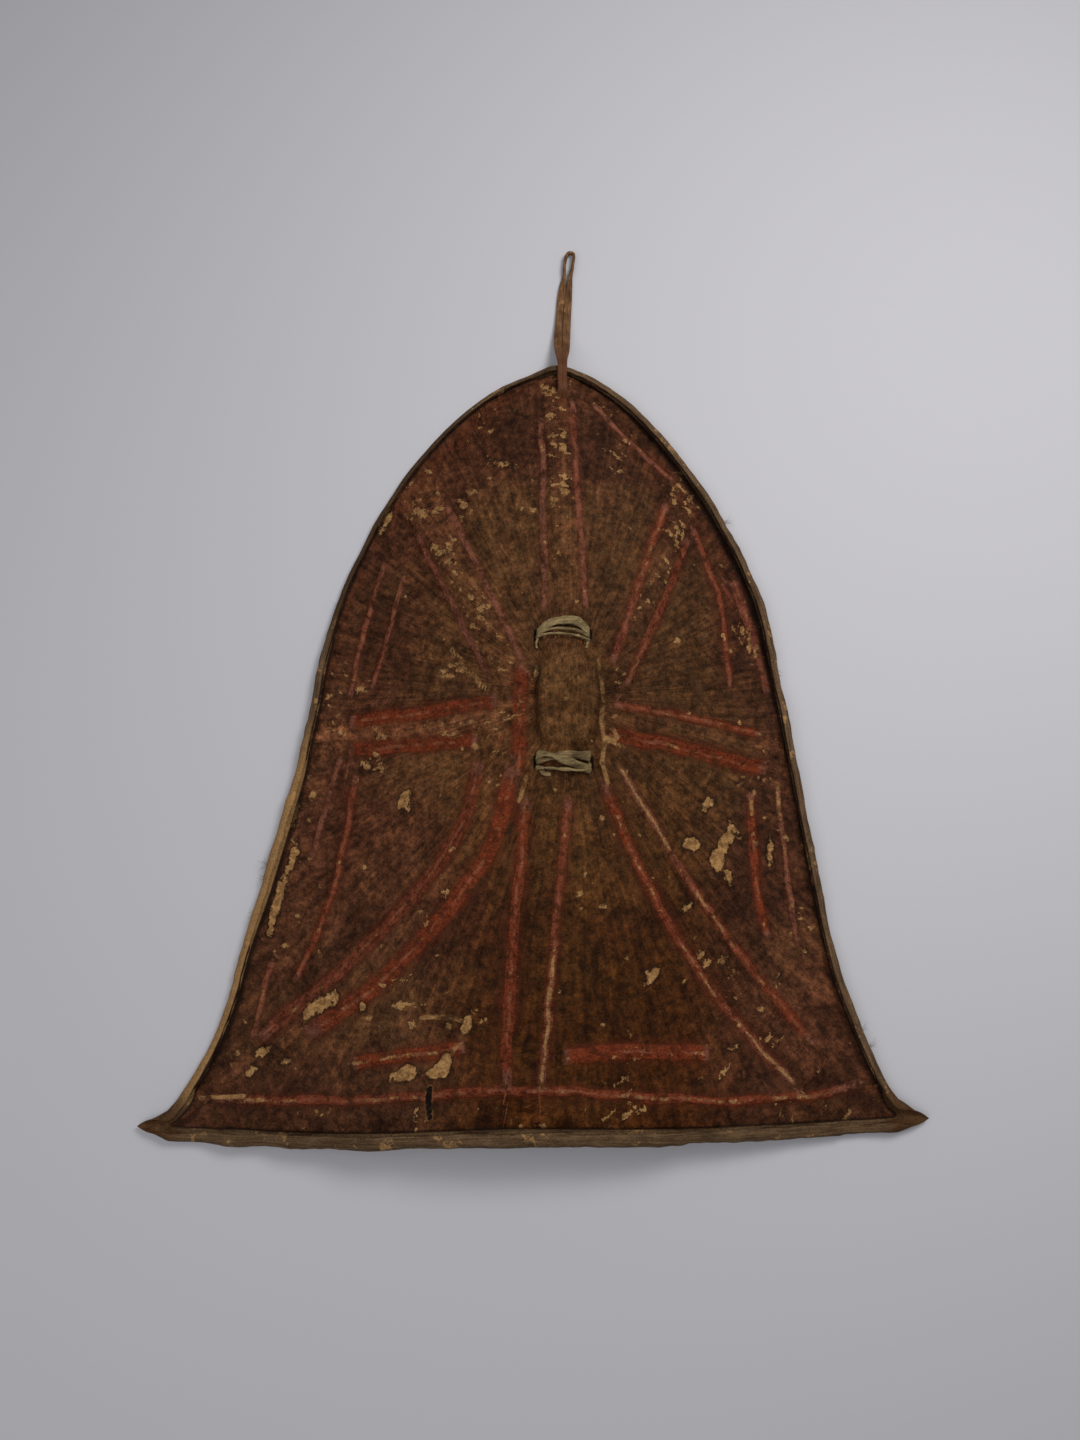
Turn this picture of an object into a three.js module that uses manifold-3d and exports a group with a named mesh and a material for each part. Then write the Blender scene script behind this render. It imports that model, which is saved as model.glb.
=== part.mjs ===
// A bell-shaped hide shield lying face up, in millimetres.
// x is to the right, y runs toward the pointed top, z is up out of the painted face.
import * as THREE from "three";
import Module from "manifold-3d";

const wasm = await Module();
wasm.setup();

// The sheet of hide
const sheetThickness = 4.5;
const restingFlat = 0.6; // how much of the underside is worn flat where it rests
const fitGap = 0.4; // clear air kept between two pieces that nearly touch

// The outer edge seen from above, as cubic curves. Each corner point is shared by two curves.
const top = [28, 754.5];
const foot = [0, -16];
const waistRight = [243, 460];
const hemRight = [300, 127];
const rootRight = [347, 19];
const footRight = [343, -12];
const waistLeft = [-221, 404];
const hemLeft = [-290, 123];
const rootLeft = [-346, 8];
const footLeft = [-343, -20];
const sideRim = 5.4; // radius of the curl's centre line along the sides
const topRim = 5;
const earRim = 5.4;
const bottomRim = 8;
const outline = [
  {
    part: "right",
    stations: 14,
    rim: [topRim, sideRim],
    curve: [top, [116, 754.5], [234, 556], waistRight],
  },
  {
    part: "right",
    stations: 11,
    rim: [sideRim, sideRim],
    curve: [waistRight, [260, 357], [288, 165], hemRight],
  },
  {
    part: "right",
    stations: 6,
    rim: [sideRim, earRim],
    curve: [hemRight, [316, 82], [330, 40], rootRight],
  },
  {
    part: "ear",
    stations: 8,
    rim: [earRim, earRim],
    curve: [rootRight, [362, 11], [362, -8], footRight],
  },
  {
    part: "bottom",
    stations: 10,
    rim: [earRim, bottomRim],
    curve: [footRight, [200, -21], [110, -17], foot],
  },
  {
    part: "bottom",
    stations: 10,
    rim: [bottomRim, earRim],
    curve: [foot, [-100, -16], [-200, -32], footLeft],
  },
  {
    part: "ear",
    stations: 8,
    rim: [earRim, earRim],
    curve: [footLeft, [-361, -14], [-360, 3], rootLeft],
  },
  {
    part: "left",
    stations: 6,
    rim: [earRim, sideRim],
    curve: [rootLeft, [-331, 20], [-303, 71], hemLeft],
  },
  {
    part: "left",
    stations: 11,
    rim: [sideRim, sideRim],
    curve: [hemLeft, [-281, 175], [-233, 325], waistLeft],
  },
  {
    part: "left",
    stations: 14,
    rim: [sideRim, topRim],
    curve: [waistLeft, [-208, 553], [-91, 754.5], top],
  },
];

// The dome
const bossCentre = [33, 391];
const bossHalf = [31, 50];
const bossHeight = 15;
const bossCrest = 0.66; // shares of the half size at which the boss starts to fall and is gone
const bossEdge = 1.1;
const bossSquareness = 3; // 2 is an oval, and more is squarer
const archHeight = 70; // the ridge line's height at the boss
const archFoot = 26; // how much lower the ridge line is at the bottom edge
const archTop = 62; // how much lower the ridge line is at the top
const archTopPower = 1.8;
const archSpread = 0.62; // share of the half width over which the arch falls
const archPower = 2.4;
const archReach = 0.87; // beyond this share of the half width the hide lies flat
const archSoft = 30; // widens the arch where the outline narrows to nothing
const edgeLift = 4; // how far the long sides warp up off the ground
const liftShare = 0.6; // share of the half width where the warp starts
const liftFrom = 60; // between these two levels
const liftTo = 640;
const slopeReach = 2; // how far on each side the slope of the sheet is measured
const axisLine = [
  [-20, -10],
  [150, 0],
  [300, 14],
  [391, 32],
  [530, 31],
  [760, 27],
]; // pairs of y and x along the ridge

// Raised ribs between the painted lines, each a path outward from the boss
const ribHeight = 5;
const ribCrest = 0.25; // share of the half width that stays at full height
const ribs = [
  { path: [[32, 420], [31, 530], [27, 735]], half: 21 },
  { path: [[-15, 402], [-64, 503], [-108, 597]], half: 20 },
  { path: [[78, 404], [115, 500], [150, 592]], half: 18 },
  { path: [[-25, 375], [-114, 369], [-190, 365]], half: 18 },
  { path: [[60, 374], [153, 364], [236, 349]], half: 18 },
  { path: [[-28, 350], [-54, 260], [-110, 186], [-168, 130], [-244, 71]], half: 19 },
  { path: [[24, 340], [8, 241], [0, 150], [-8, 30]], half: 20 },
  { path: [[66, 335], [130, 218], [190, 130], [263, 46]], half: 19 },
];

// The curled margin
const curlSteps = 6;
const curlSweep = 175; // degrees turned from flat
const cuffHalf = 1.5; // half the thickness of the curl's free edge
const lipBottom = 3; // how far the bottom curl runs on past its turn
const lipSide = 0.6;
const lipFrom = 330; // distances from the middle between which the bottom curl widens
const lipFull = 260;
const earReach = 24; // from the root of the ear to its tip
const earRise = 4;
const earTipHalf = 1.2;
const earWidth = 0.15; // share of the ear's curve that is drawn out into its point
const lipShare = 0.7; // share of the turn after which the curl runs on
const frontRings = [0.05, 0.09, 0.13, 0.17, 0.23, 0.32, 0.42, 0.53, 0.64, 0.75, 0.86, 0.95];
const backRings = [0.07, 0.13, 0.19, 0.3, 0.42, 0.53, 0.64, 0.75, 0.86, 0.95];

// The grip and its two thongs
const gripX = 29;
const thongYs = [331, 455];
const thongWidth = 11;
const thongThickness = 3;
const thongSpan = 25; // half the length of a thong on the front
const thongSupports = 6; // places each side of the middle where the sheet holds the thong up
const thongSteps = 48;
const slotDepth = 24; // long enough to cut right through the sloping sheet
const thongLift = 1.1; // the band's height over the sheet, which is slightly uneven between them
const gripOverhang = 15; // bar beyond each thong
const gripHalf = 15;
const gripRadius = 7.5;
const gripBow = 28; // how far the middle of the bar stands off its ends
const gripWaist = 3; // how much narrower the middle of the bar is, each side
const gripStations = 24;
const gripCorners = 16; // points round each of its sections
const gripSeat = 3.5; // air between the bar and the sheet at the thongs
const gripBowPower = 1.5;
const gripTipFloor = 0.12; // square of the smallest share of the radius left at the bar's ends
const gripTipWidth = 0.6; // share of the width left at the bar's ends

// The hanging loop
const loopHole = [30, 720];
const loopTip = [40, 893];
const loopBend = 3.2; // how far the loop bows to the left between the rim and its tip
const strandHalf = [4.4, 1.6];
const strandOffset = 4.6; // centre of each strand from the loop's centre line
const eyeHalf = 6.3;
const eyeLength = 22;
const knotHalf = [9.5, 7, 5.5];
const knotFacets = 20;
const knotGap = 1.6; // between the knot and the underside of the sheet
const loopRimGap = 1; // clear air between the strands and the top of the curl
const loopSteps = 84;
const loopHoleDepth = 16;
const loopUpright = 0.12; // share of the strand's length at each end that faces along the shield
const eyeTurn = [150, 120, 90, 60, 30]; // degrees round the end of the eye
// The loop's side view from the knot to the eye: how far along and how high from the place named, and
// how far the strand has turned on edge
const loopFromHole = [
  [-1, -12.5, 0],
  [0, -1, 0],
  [7, 4.5, 0],
];
const loopOverRim = [
  [-8, 0.6, 0],
  [7, 0, 0],
  [22, -9, 0],
];
const loopOnGround = [
  [42, 8, 0],
  [75, 3, 0],
];
const loopAtEye = [
  [-26, 2.8, 0],
  [-6, 4.4, 0.7],
  [4, 5, 1],
];
const loopAtTip = [-8, 5, 1];
const eyeOpening = 0.75; // how far the strand has turned when the eye starts to open
const strandCorners = [
  [1, -0.4],
  [0.75, -1],
  [-0.75, -1],
  [-1, -0.4],
  [-1, 0.4],
  [-0.75, 1],
  [0.75, 1],
  [1, 0.4],
]; // shares of the strand's half width and half thickness

function smooth(from, to, value) {
  const share = Math.min(Math.max((value - from) / (to - from), 0), 1);
  return share * share * (3 - 2 * share);
}

function bezier(points, share) {
  const rest = 1 - share;
  const weights = [rest ** 3, 3 * rest * rest * share, 3 * rest * share * share, share ** 3];
  return [0, 1].map((axis) => points.reduce((sum, point, i) => sum + weights[i] * point[axis], 0));
}

// A smooth curve through a list of [key, value] pairs with rising keys
function lookUp(pairs, key) {
  const last = pairs.length - 1;
  const clamped = Math.min(Math.max(key, pairs[0][0]), pairs[last][0]);
  let i = 0;
  while (i < last - 1 && pairs[i + 1][0] < clamped) i += 1;
  const slope = (k) => {
    const before = pairs[Math.max(k - 1, 0)];
    const after = pairs[Math.min(k + 1, last)];
    return (after[1] - before[1]) / (after[0] - before[0]);
  };
  const span = pairs[i + 1][0] - pairs[i][0];
  const t = (clamped - pairs[i][0]) / span;
  const start = pairs[i][1] * (1 + 2 * t) * (1 - t) ** 2 + slope(i) * span * t * (1 - t) ** 2;
  const end = pairs[i + 1][1] * t * t * (3 - 2 * t) - slope(i + 1) * span * t * t * (1 - t);
  return start + end;
}

const sideSamples = 40;

// Each side of the outline as a list of [y, x], lowest first, to find the width at any height
function sideProfile(direction) {
  const samples = [];
  for (const { part, curve } of outline) {
    if (part !== (direction > 0 ? "right" : "left")) continue;
    for (let k = 0; k <= sideSamples; k += 1) samples.push(bezier(curve, k / sideSamples).reverse());
  }
  return samples.sort((a, b) => a[0] - b[0]);
}
const sides = { 1: sideProfile(1), [-1]: sideProfile(-1) };

function edgeX(direction, y) {
  const samples = sides[direction];
  let i = 1;
  while (i < samples.length - 1 && samples[i][0] < y) i += 1;
  const [y0, x0] = samples[i - 1];
  const [y1, x1] = samples[i];
  const share = Math.min(Math.max((y - y0) / Math.max(y1 - y0, 1e-6), 0), 1);
  return x0 + (x1 - x0) * share;
}

function distanceToPath(path, x, y) {
  let best = Infinity;
  for (let i = 1; i < path.length; i += 1) {
    const [ax, ay] = path[i - 1];
    const dx = path[i][0] - ax;
    const dy = path[i][1] - ay;
    const share = Math.min(Math.max(((x - ax) * dx + (y - ay) * dy) / (dx * dx + dy * dy), 0), 1);
    best = Math.min(best, Math.hypot(x - ax - share * dx, y - ay - share * dy));
  }
  return best;
}

// Height of the middle of the sheet's thickness above the ground
function sheetHeight(x, y) {
  const axis = lookUp(axisLine, y);
  const direction = x < axis ? -1 : 1;
  const half = Math.hypot(edgeX(direction, y) - axis, archSoft);
  const across = Math.abs(x - axis) / half;
  const floor = Math.exp(-((archReach / archSpread) ** archPower));
  const fall = Math.max((Math.exp(-((across / archSpread) ** archPower)) - floor) / (1 - floor), 0);
  const down = Math.min(Math.max((bossCentre[1] - y) / (bossCentre[1] - foot[1]), 0), 1);
  const up = Math.min(Math.max((y - bossCentre[1]) / (top[1] - bossCentre[1]), 0), 1);
  const ridge = archHeight - archFoot * down ** 2 - archTop * up ** archTopPower;
  const lifting = Math.sin(Math.PI * smooth(liftFrom, liftTo, y)) ** 2;
  const warp = edgeLift * smooth(liftShare, 1, across) * lifting;
  let rib = 0;
  for (const { path, half: reach } of ribs) {
    rib = Math.max(rib, 1 - smooth(ribCrest, 1, distanceToPath(path, x, y) / reach));
  }
  const bossAcross = Math.abs((x - bossCentre[0]) / bossHalf[0]) ** bossSquareness;
  const bossAlong = Math.abs((y - bossCentre[1]) / bossHalf[1]) ** bossSquareness;
  const bossReach = (bossAcross + bossAlong) ** (1 / bossSquareness);
  const boss = bossHeight * (1 - smooth(bossCrest, bossEdge, bossReach));
  return sheetThickness / 2 - restingFlat + ridge * fall + warp + Math.max(ribHeight * rib, boss);
}

// Half the sheet's thickness measured straight up, so that a slope keeps its true thickness
function halfUpright(x, y) {
  const riseX = sheetHeight(x + slopeReach, y) - sheetHeight(x - slopeReach, y);
  const riseY = sheetHeight(x, y + slopeReach) - sheetHeight(x, y - slopeReach);
  return (sheetThickness / 2) * Math.hypot(1, riseX / (2 * slopeReach), riseY / (2 * slopeReach));
}

function outlineStations() {
  const stations = [];
  for (const piece of outline) {
    for (let k = 0; k < piece.stations; k += 1) {
      const share = k / piece.stations;
      const [x, y] = bezier(piece.curve, share);
      const rim = piece.rim[0] + (piece.rim[1] - piece.rim[0]) * smooth(0, 1, share);
      const ear = piece.part === "ear" ? Math.exp(-(((share - 0.5) / earWidth) ** 2)) : 0;
      const bottom = piece.part === "bottom" ? smooth(lipFrom, lipFull, Math.abs(x)) : 0;
      stations.push({ x, y, rim, ear, bottom });
    }
  }
  return stations.map((station, i) => {
    const before = stations[(i + stations.length - 1) % stations.length];
    const after = stations[(i + 1) % stations.length];
    const length = Math.hypot(after.x - before.x, after.y - before.y);
    const out = [-(after.y - before.y) / length, (after.x - before.x) / length];
    const inset = station.rim + sheetThickness / 2;
    return { ...station, out, spine: [station.x - out[0] * inset, station.y - out[1] * inset] };
  });
}

// The curl in its own plane: [outward, up, half thickness] from the sheet's edge to the free edge
function curlProfile(station) {
  const lip = lipSide + (lipBottom - lipSide) * station.bottom;
  const points = [];
  for (let k = 0; k <= curlSteps; k += 1) {
    const share = k / curlSteps;
    const angle = THREE.MathUtils.degToRad(curlSweep * share);
    const past = lip * smooth(lipShare, 1, share);
    const curled = [station.rim * Math.sin(angle) - past, station.rim * (1 - Math.cos(angle))];
    const straight = [earReach * share, earRise * share * share];
    const half = (sheetThickness / 2) * (1 - share) + cuffHalf * share;
    const earHalf = (sheetThickness / 2) * (1 - share) + earTipHalf * share;
    points.push([
      curled[0] * (1 - station.ear) + straight[0] * station.ear,
      curled[1] * (1 - station.ear) + straight[1] * station.ear,
      half * (1 - station.ear) + earHalf * station.ear,
    ]);
  }
  return points;
}

// One station's ring of points, front from the centre out, round the curl, back to the centre
function stationLoop(station) {
  const [cx, cy] = bossCentre;
  const [sx, sy] = station.spine;
  const at = (ring) => [cx + (sx - cx) * ring, cy + (sy - cy) * ring];
  const loop = [];
  for (const ring of frontRings) {
    const [x, y] = at(ring);
    loop.push([x, y, sheetHeight(x, y) + halfUpright(x, y)]);
  }
  const profile = curlProfile(station);
  const base = sheetHeight(sx, sy);
  const offset = (k, sideSign) => {
    const before = profile[Math.max(k - 1, 0)];
    const after = profile[Math.min(k + 1, profile.length - 1)];
    const run = after[0] - before[0];
    const rise = after[1] - before[1];
    const length = Math.hypot(run, rise);
    const half = profile[k][2] * sideSign;
    const outward = profile[k][0] - (rise / length) * half;
    const up = profile[k][1] + (run / length) * half;
    return [sx + station.out[0] * outward, sy + station.out[1] * outward, Math.max(base + up, 0)];
  };
  for (let k = 0; k < profile.length; k += 1) loop.push(offset(k, 1));
  for (let k = profile.length - 1; k >= 0; k -= 1) loop.push(offset(k, -1));
  for (const ring of [...backRings].reverse()) {
    const [x, y] = at(ring);
    loop.push([x, y, Math.max(sheetHeight(x, y) - halfUpright(x, y), 0)]);
  }
  return loop;
}

// Closes a grid of loops into one body, with a fan of triangles to a point at each end
function closedGrid(rows, first, last) {
  const across = rows[0].length;
  const positions = rows.flat(2);
  const triangles = [];
  for (let i = 0; i < rows.length; i += 1) {
    const j = (i + 1) % rows.length;
    for (let k = 0; k < across - 1; k += 1) {
      const [a, b, c, d] = [i * across + k, j * across + k, j * across + k + 1, i * across + k + 1];
      triangles.push(a, c, d, a, b, c);
    }
  }
  const firstIndex = positions.length / 3;
  positions.push(...first, ...last);
  for (let i = 0; i < rows.length; i += 1) {
    const j = (i + 1) % rows.length;
    triangles.push(firstIndex, j * across, i * across);
    triangles.push(firstIndex + 1, (i + 1) * across - 1, (j + 1) * across - 1);
  }
  return { positions, triangles };
}

// A bar with a cross-section at each station: sections are rings of points in space
function sweptBody(sections, closed) {
  const around = sections[0].length;
  const positions = sections.flat(2);
  const triangles = [];
  const spans = closed ? sections.length : sections.length - 1;
  for (let i = 0; i < spans; i += 1) {
    const j = (i + 1) % sections.length;
    for (let k = 0; k < around; k += 1) {
      const m = (k + 1) % around;
      const [a, b, c, d] = [i * around + k, i * around + m, j * around + m, j * around + k];
      triangles.push(a, b, c, a, c, d);
    }
  }
  if (!closed) {
    for (let k = 1; k < around - 1; k += 1) {
      const end = (sections.length - 1) * around;
      triangles.push(0, k + 1, k, end, end + k, end + k + 1);
    }
  }
  return { positions, triangles };
}

function toSolid({ positions, triangles }) {
  return new wasm.Manifold(
    new wasm.Mesh({
      numProp: 3,
      vertProperties: new Float32Array(positions),
      triVerts: new Uint32Array(triangles),
    }),
  );
}

function toMesh(name, solid, color) {
  const body = solid.getMesh();
  const geometry = new THREE.BufferGeometry();
  geometry.setAttribute("position", new THREE.BufferAttribute(new Float32Array(body.vertProperties), 3));
  geometry.setIndex(new THREE.BufferAttribute(new Uint32Array(body.triVerts), 1));
  geometry.computeVertexNormals();
  const mesh = new THREE.Mesh(geometry, new THREE.MeshStandardMaterial({ color, roughness: 0.7 }));
  mesh.name = name;
  return mesh;
}

function boxSolid(centre, size, lean = 0) {
  return wasm.Manifold.cube(size, true).rotate([0, lean, 0]).translate(centre);
}

// The tight string round a set of circles [x, z, radius], pushed out by a further distance
function stringPoint(circles, angle, further) {
  const [dx, dz] = [Math.cos(angle), Math.sin(angle)];
  let best = circles[0];
  let reach = -Infinity;
  for (const circle of circles) {
    const value = circle[0] * dx + circle[1] * dz + circle[2];
    if (value > reach) {
      reach = value;
      best = circle;
    }
  }
  return [best[0] + dx * (best[2] + further), best[1] + dz * (best[2] + further)];
}

const gripLow = thongYs[0] - gripOverhang;
const gripHigh = thongYs[1] + gripOverhang;

// Height of the bar's centre line: against the sheet at the thongs, bowed away in the middle
function gripHeight(y) {
  const underside = (level) => sheetHeight(gripX, level) - halfUpright(gripX, level);
  const seat = Math.min(...thongYs.map(underside));
  const share = (y - thongYs[0]) / (thongYs[1] - thongYs[0]);
  const bow = share > 0 && share < 1 ? gripBow * Math.sin(Math.PI * share) ** gripBowPower : 0;
  return seat - gripSeat - gripRadius - bow;
}

function gripSection(y) {
  const share = Math.min(Math.max((y - gripLow) / (gripHigh - gripLow), 0), 1);
  const end = Math.min(share, 1 - share) * (gripHigh - gripLow);
  const tip = Math.sqrt(Math.max(1 - (1 - Math.min(end / gripRadius, 1)) ** 2, gripTipFloor));
  const waist = gripWaist * Math.sin(Math.PI * share) ** 2;
  const width = gripTipWidth + (1 - gripTipWidth) * tip;
  return { half: (gripHalf - waist) * width, radius: gripRadius * tip };
}

function gripBody() {
  const sections = [];
  for (let i = 0; i <= gripStations; i += 1) {
    const y = gripLow + ((gripHigh - gripLow) * (1 - Math.cos((Math.PI * i) / gripStations))) / 2;
    const { half, radius } = gripSection(y);
    const z = gripHeight(y);
    const ring = [];
    for (let k = 0; k < gripCorners; k += 1) {
      const angle = (-Math.PI * 2 * (k + 0.5)) / gripCorners;
      const centre = Math.sign(Math.cos(angle)) * (half - radius);
      ring.push([gripX + centre + Math.cos(angle) * radius, y, z + Math.sin(angle) * radius]);
    }
    sections.push(ring);
  }
  return toSolid(sweptBody(sections, false));
}

// One thong: the circles its string goes round, its band, and the two slots it passes through
function thong(y) {
  const ys = [-0.5, 0, 0.5].map((share) => y + share * thongWidth);
  const circles = [];
  for (let k = -thongSupports; k <= thongSupports; k += 1) {
    const x = gripX + (k / thongSupports) * (thongSpan - thongThickness / 2);
    const height = Math.max(...ys.map((level) => sheetHeight(x, level) + halfUpright(x, level)));
    circles.push([x, height + thongLift, 0]);
  }
  const barZ = Math.min(...ys.map(gripHeight));
  const barTop = Math.max(...ys.map(gripHeight));
  const shoulder = gripHalf - gripRadius;
  for (const z of [barZ, barTop]) {
    circles.push([gripX - shoulder, z, gripRadius + fitGap], [gripX + shoulder, z, gripRadius + fitGap]);
  }
  const sections = [];
  const crossings = [];
  let before = null;
  for (let i = 0; i < thongSteps; i += 1) {
    const angle = (-Math.PI * 2 * i) / thongSteps;
    const inner = stringPoint(circles, angle, 0);
    const outer = stringPoint(circles, angle, thongThickness);
    const [low, high] = [ys[0], ys[2]];
    sections.push([
      [inner[0], low, inner[1]],
      [inner[0], high, inner[1]],
      [outer[0], high, outer[1]],
      [outer[0], low, outer[1]],
    ]);
    const middle = stringPoint(circles, angle, thongThickness / 2);
    const above = middle[1] > sheetHeight(middle[0], y);
    if (before && before.above !== above) {
      const run = middle[0] - before.middle[0];
      const rise = middle[1] - before.middle[1];
      const level = sheetHeight((middle[0] + before.middle[0]) / 2, y);
      const x = before.middle[0] + (run * (level - before.middle[1])) / rise;
      crossings.push({ x, z: level, lean: Math.atan2(run, rise) });
    }
    before = { middle, above };
  }
  const slotSize = [thongThickness + 2 * fitGap, thongWidth + 2 * fitGap, slotDepth];
  const slots = crossings.map(({ x, z, lean }) => {
    return boxSolid([x, y, z], slotSize, THREE.MathUtils.radToDeg(lean));
  });
  return { band: toSolid(sweptBody(sections, true)), slots };
}

// The loop's strands: out of the knot, through the hole, over the rim, round the eye and back
function loopBody() {
  const [holeX, holeY] = loopHole;
  const front = sheetHeight(holeX, holeY) + sheetThickness / 2;
  const spineY = top[1] - topRim - sheetThickness / 2;
  const rimTop = sheetHeight(top[0], spineY) + 2 * topRim + cuffHalf;
  const over = rimTop + strandHalf[1] + loopRimGap;
  const eyeY = loopTip[1] - eyeLength;
  const from = (startY, startZ, rows) => {
    return rows.map(([along, up, roll]) => [startY + along, startZ + up, roll]);
  };
  const side = [
    ...from(holeY, front, loopFromHole),
    ...from(spineY, over, loopOverRim),
    ...from(spineY, 0, loopOnGround),
    ...from(eyeY, 0, loopAtEye),
    ...from(loopTip[1], 0, [loopAtTip]),
  ];
  const points = [];
  const rolls = [];
  const shift = (y) => {
    const share = Math.max(y - spineY, 0) / (loopTip[1] - spineY);
    return (loopTip[0] - holeX) * share - loopBend * Math.sin(Math.PI * share);
  };
  const place = (offset, [y, z, roll]) => {
    points.push(new THREE.Vector3(holeX + shift(y) + offset, y, z));
    rolls.push(roll);
  };
  const opened = (entry) => strandOffset + (eyeHalf - strandOffset) * smooth(eyeOpening, 1, entry[2]);
  for (const entry of side) place(-opened(entry), entry);
  const [, tipHeight, tipRoll] = loopAtTip;
  for (const angle of eyeTurn) {
    const turn = THREE.MathUtils.degToRad(angle);
    const y = loopTip[1] - strandHalf[1] - eyeHalf + Math.sin(turn) * eyeHalf;
    place(Math.cos(turn) * eyeHalf, [y, tipHeight, tipRoll]);
  }
  for (const entry of [...side].reverse()) place(opened(entry), entry);
  const curve = new THREE.CatmullRomCurve3(points, false, "centripetal");
  const sections = [];
  for (let i = 0; i <= loopSteps; i += 1) {
    const share = i / loopSteps;
    const middle = curve.getPoint(share);
    const along = curve.getTangent(share);
    const spot = share * (rolls.length - 1);
    const k = Math.min(Math.floor(spot), rolls.length - 2);
    const roll = (rolls[k] + (rolls[k + 1] - rolls[k]) * (spot - k)) * (Math.PI / 2);
    const level = new THREE.Vector3(0, 0, 1);
    const flat = new THREE.Vector3().crossVectors(along, level);
    if (Math.min(share, 1 - share) < loopUpright) flat.set(share < 0.5 ? 1 : -1, 0, 0);
    flat.addScaledVector(along, -flat.dot(along)).normalize();
    const lift = new THREE.Vector3().crossVectors(flat, along).normalize();
    const wide = flat.clone().multiplyScalar(Math.cos(roll)).addScaledVector(lift, Math.sin(roll));
    const thick = lift.clone().multiplyScalar(Math.cos(roll)).addScaledVector(flat, -Math.sin(roll));
    const ring = [];
    for (const [w, t] of strandCorners) {
      const corner = middle
        .clone()
        .addScaledVector(wide, w * strandHalf[0])
        .addScaledVector(thick, t * strandHalf[1]);
      ring.push(corner.toArray());
    }
    sections.push(ring);
  }
  const strands = toSolid(sweptBody(sections, false));
  const knotZ = front - sheetThickness - fitGap - knotHalf[2] - knotGap;
  const knot = wasm.Manifold.sphere(1, knotFacets).scale(knotHalf).translate([holeX, holeY - 1, knotZ]);
  return { body: strands.add(knot), holeZ: front - sheetThickness / 2 };
}

function hideBody(cuts) {
  const rows = outlineStations().map(stationLoop);
  const [cx, cy] = bossCentre;
  const crest = sheetHeight(cx, cy);
  const half = sheetThickness / 2;
  const shell = toSolid(closedGrid(rows, [cx, cy, crest + half], [cx, cy, crest - half]));
  return cuts.reduce((solid, cut) => solid.subtract(cut), shell);
}

const [thongLower, thongUpper] = thongYs.map(thong);
const loop = loopBody();
const holeWidth = 2 * (strandOffset + strandHalf[0] + fitGap);
const holeLength = 2 * strandHalf[1] + 5; // the strands lean as they pass through
const holePlace = [loopHole[0], loopHole[1] + 0.5, loop.holeZ];
const holeCut = boxSolid(holePlace, [holeWidth, holeLength, loopHoleDepth]);
const hide = hideBody([...thongLower.slots, ...thongUpper.slots, holeCut]);

const pieces = [
  ["hide", hide, 0x47302a],
  ["hanging_loop", loop.body, 0x7a5a3c],
  ["grip", gripBody(), 0x5a4430],
  ["thong_upper", thongUpper.band, 0x6d6850],
  ["thong_lower", thongLower.band, 0x6d6850],
];
const low = [0, 1].map((axis) => Math.min(...pieces.map(([, solid]) => solid.boundingBox().min[axis])));
const high = [0, 1].map((axis) => Math.max(...pieces.map(([, solid]) => solid.boundingBox().max[axis])));
const toCentre = [-(low[0] + high[0]) / 2, -(low[1] + high[1]) / 2, 0];

const shield = new THREE.Group();
shield.name = "hide_shield";
for (const [name, solid, color] of pieces) shield.add(toMesh(name, solid.translate(toCentre), color));

export default shield;
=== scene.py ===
import math

import bmesh
import bpy
import numpy as np
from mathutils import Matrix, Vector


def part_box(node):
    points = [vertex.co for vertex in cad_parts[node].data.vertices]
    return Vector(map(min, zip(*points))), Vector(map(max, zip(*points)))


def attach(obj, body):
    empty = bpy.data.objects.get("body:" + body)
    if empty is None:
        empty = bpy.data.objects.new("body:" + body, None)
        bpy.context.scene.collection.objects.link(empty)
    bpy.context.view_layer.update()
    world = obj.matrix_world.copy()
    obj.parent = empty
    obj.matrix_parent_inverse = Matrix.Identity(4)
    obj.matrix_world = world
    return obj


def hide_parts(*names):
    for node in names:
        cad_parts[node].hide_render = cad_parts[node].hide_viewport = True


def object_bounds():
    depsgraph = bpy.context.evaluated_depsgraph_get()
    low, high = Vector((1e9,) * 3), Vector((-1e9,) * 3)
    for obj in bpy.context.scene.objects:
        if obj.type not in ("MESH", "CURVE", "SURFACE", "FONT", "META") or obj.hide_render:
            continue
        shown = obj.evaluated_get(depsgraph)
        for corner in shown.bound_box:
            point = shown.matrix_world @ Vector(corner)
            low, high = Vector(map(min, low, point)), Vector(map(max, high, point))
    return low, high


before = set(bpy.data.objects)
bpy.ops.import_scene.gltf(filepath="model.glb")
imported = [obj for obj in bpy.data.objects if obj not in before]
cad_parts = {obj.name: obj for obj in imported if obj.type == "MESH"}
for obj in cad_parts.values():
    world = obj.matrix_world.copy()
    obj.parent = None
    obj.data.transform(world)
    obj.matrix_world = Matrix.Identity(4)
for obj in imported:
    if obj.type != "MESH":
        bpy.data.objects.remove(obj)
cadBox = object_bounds()
print("stage: frame loaded")

# Everything is drawn in millimetres, x to the right, y toward the pointed top, z up from the ground,
# and placed in metres by metres().
unit = 0.001
loopTipY = 893.0  # the drawing's y at the far end of the hanging loop
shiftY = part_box("hanging_loop")[1].y / unit - loopTipY
gripX = 29.0  # the drawing's x at the middle of the hand bar
shiftX = (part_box("grip")[0].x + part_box("grip")[1].x) / 2 / unit - gripX


def metres(points):
    # drawing millimetres to metres in the frame
    return (np.asarray(points, float) + [shiftX, shiftY, 0]) * unit


def millimetres(points):
    # the way back
    return np.asarray(points, float) / unit - [shiftX, shiftY, 0]


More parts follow.
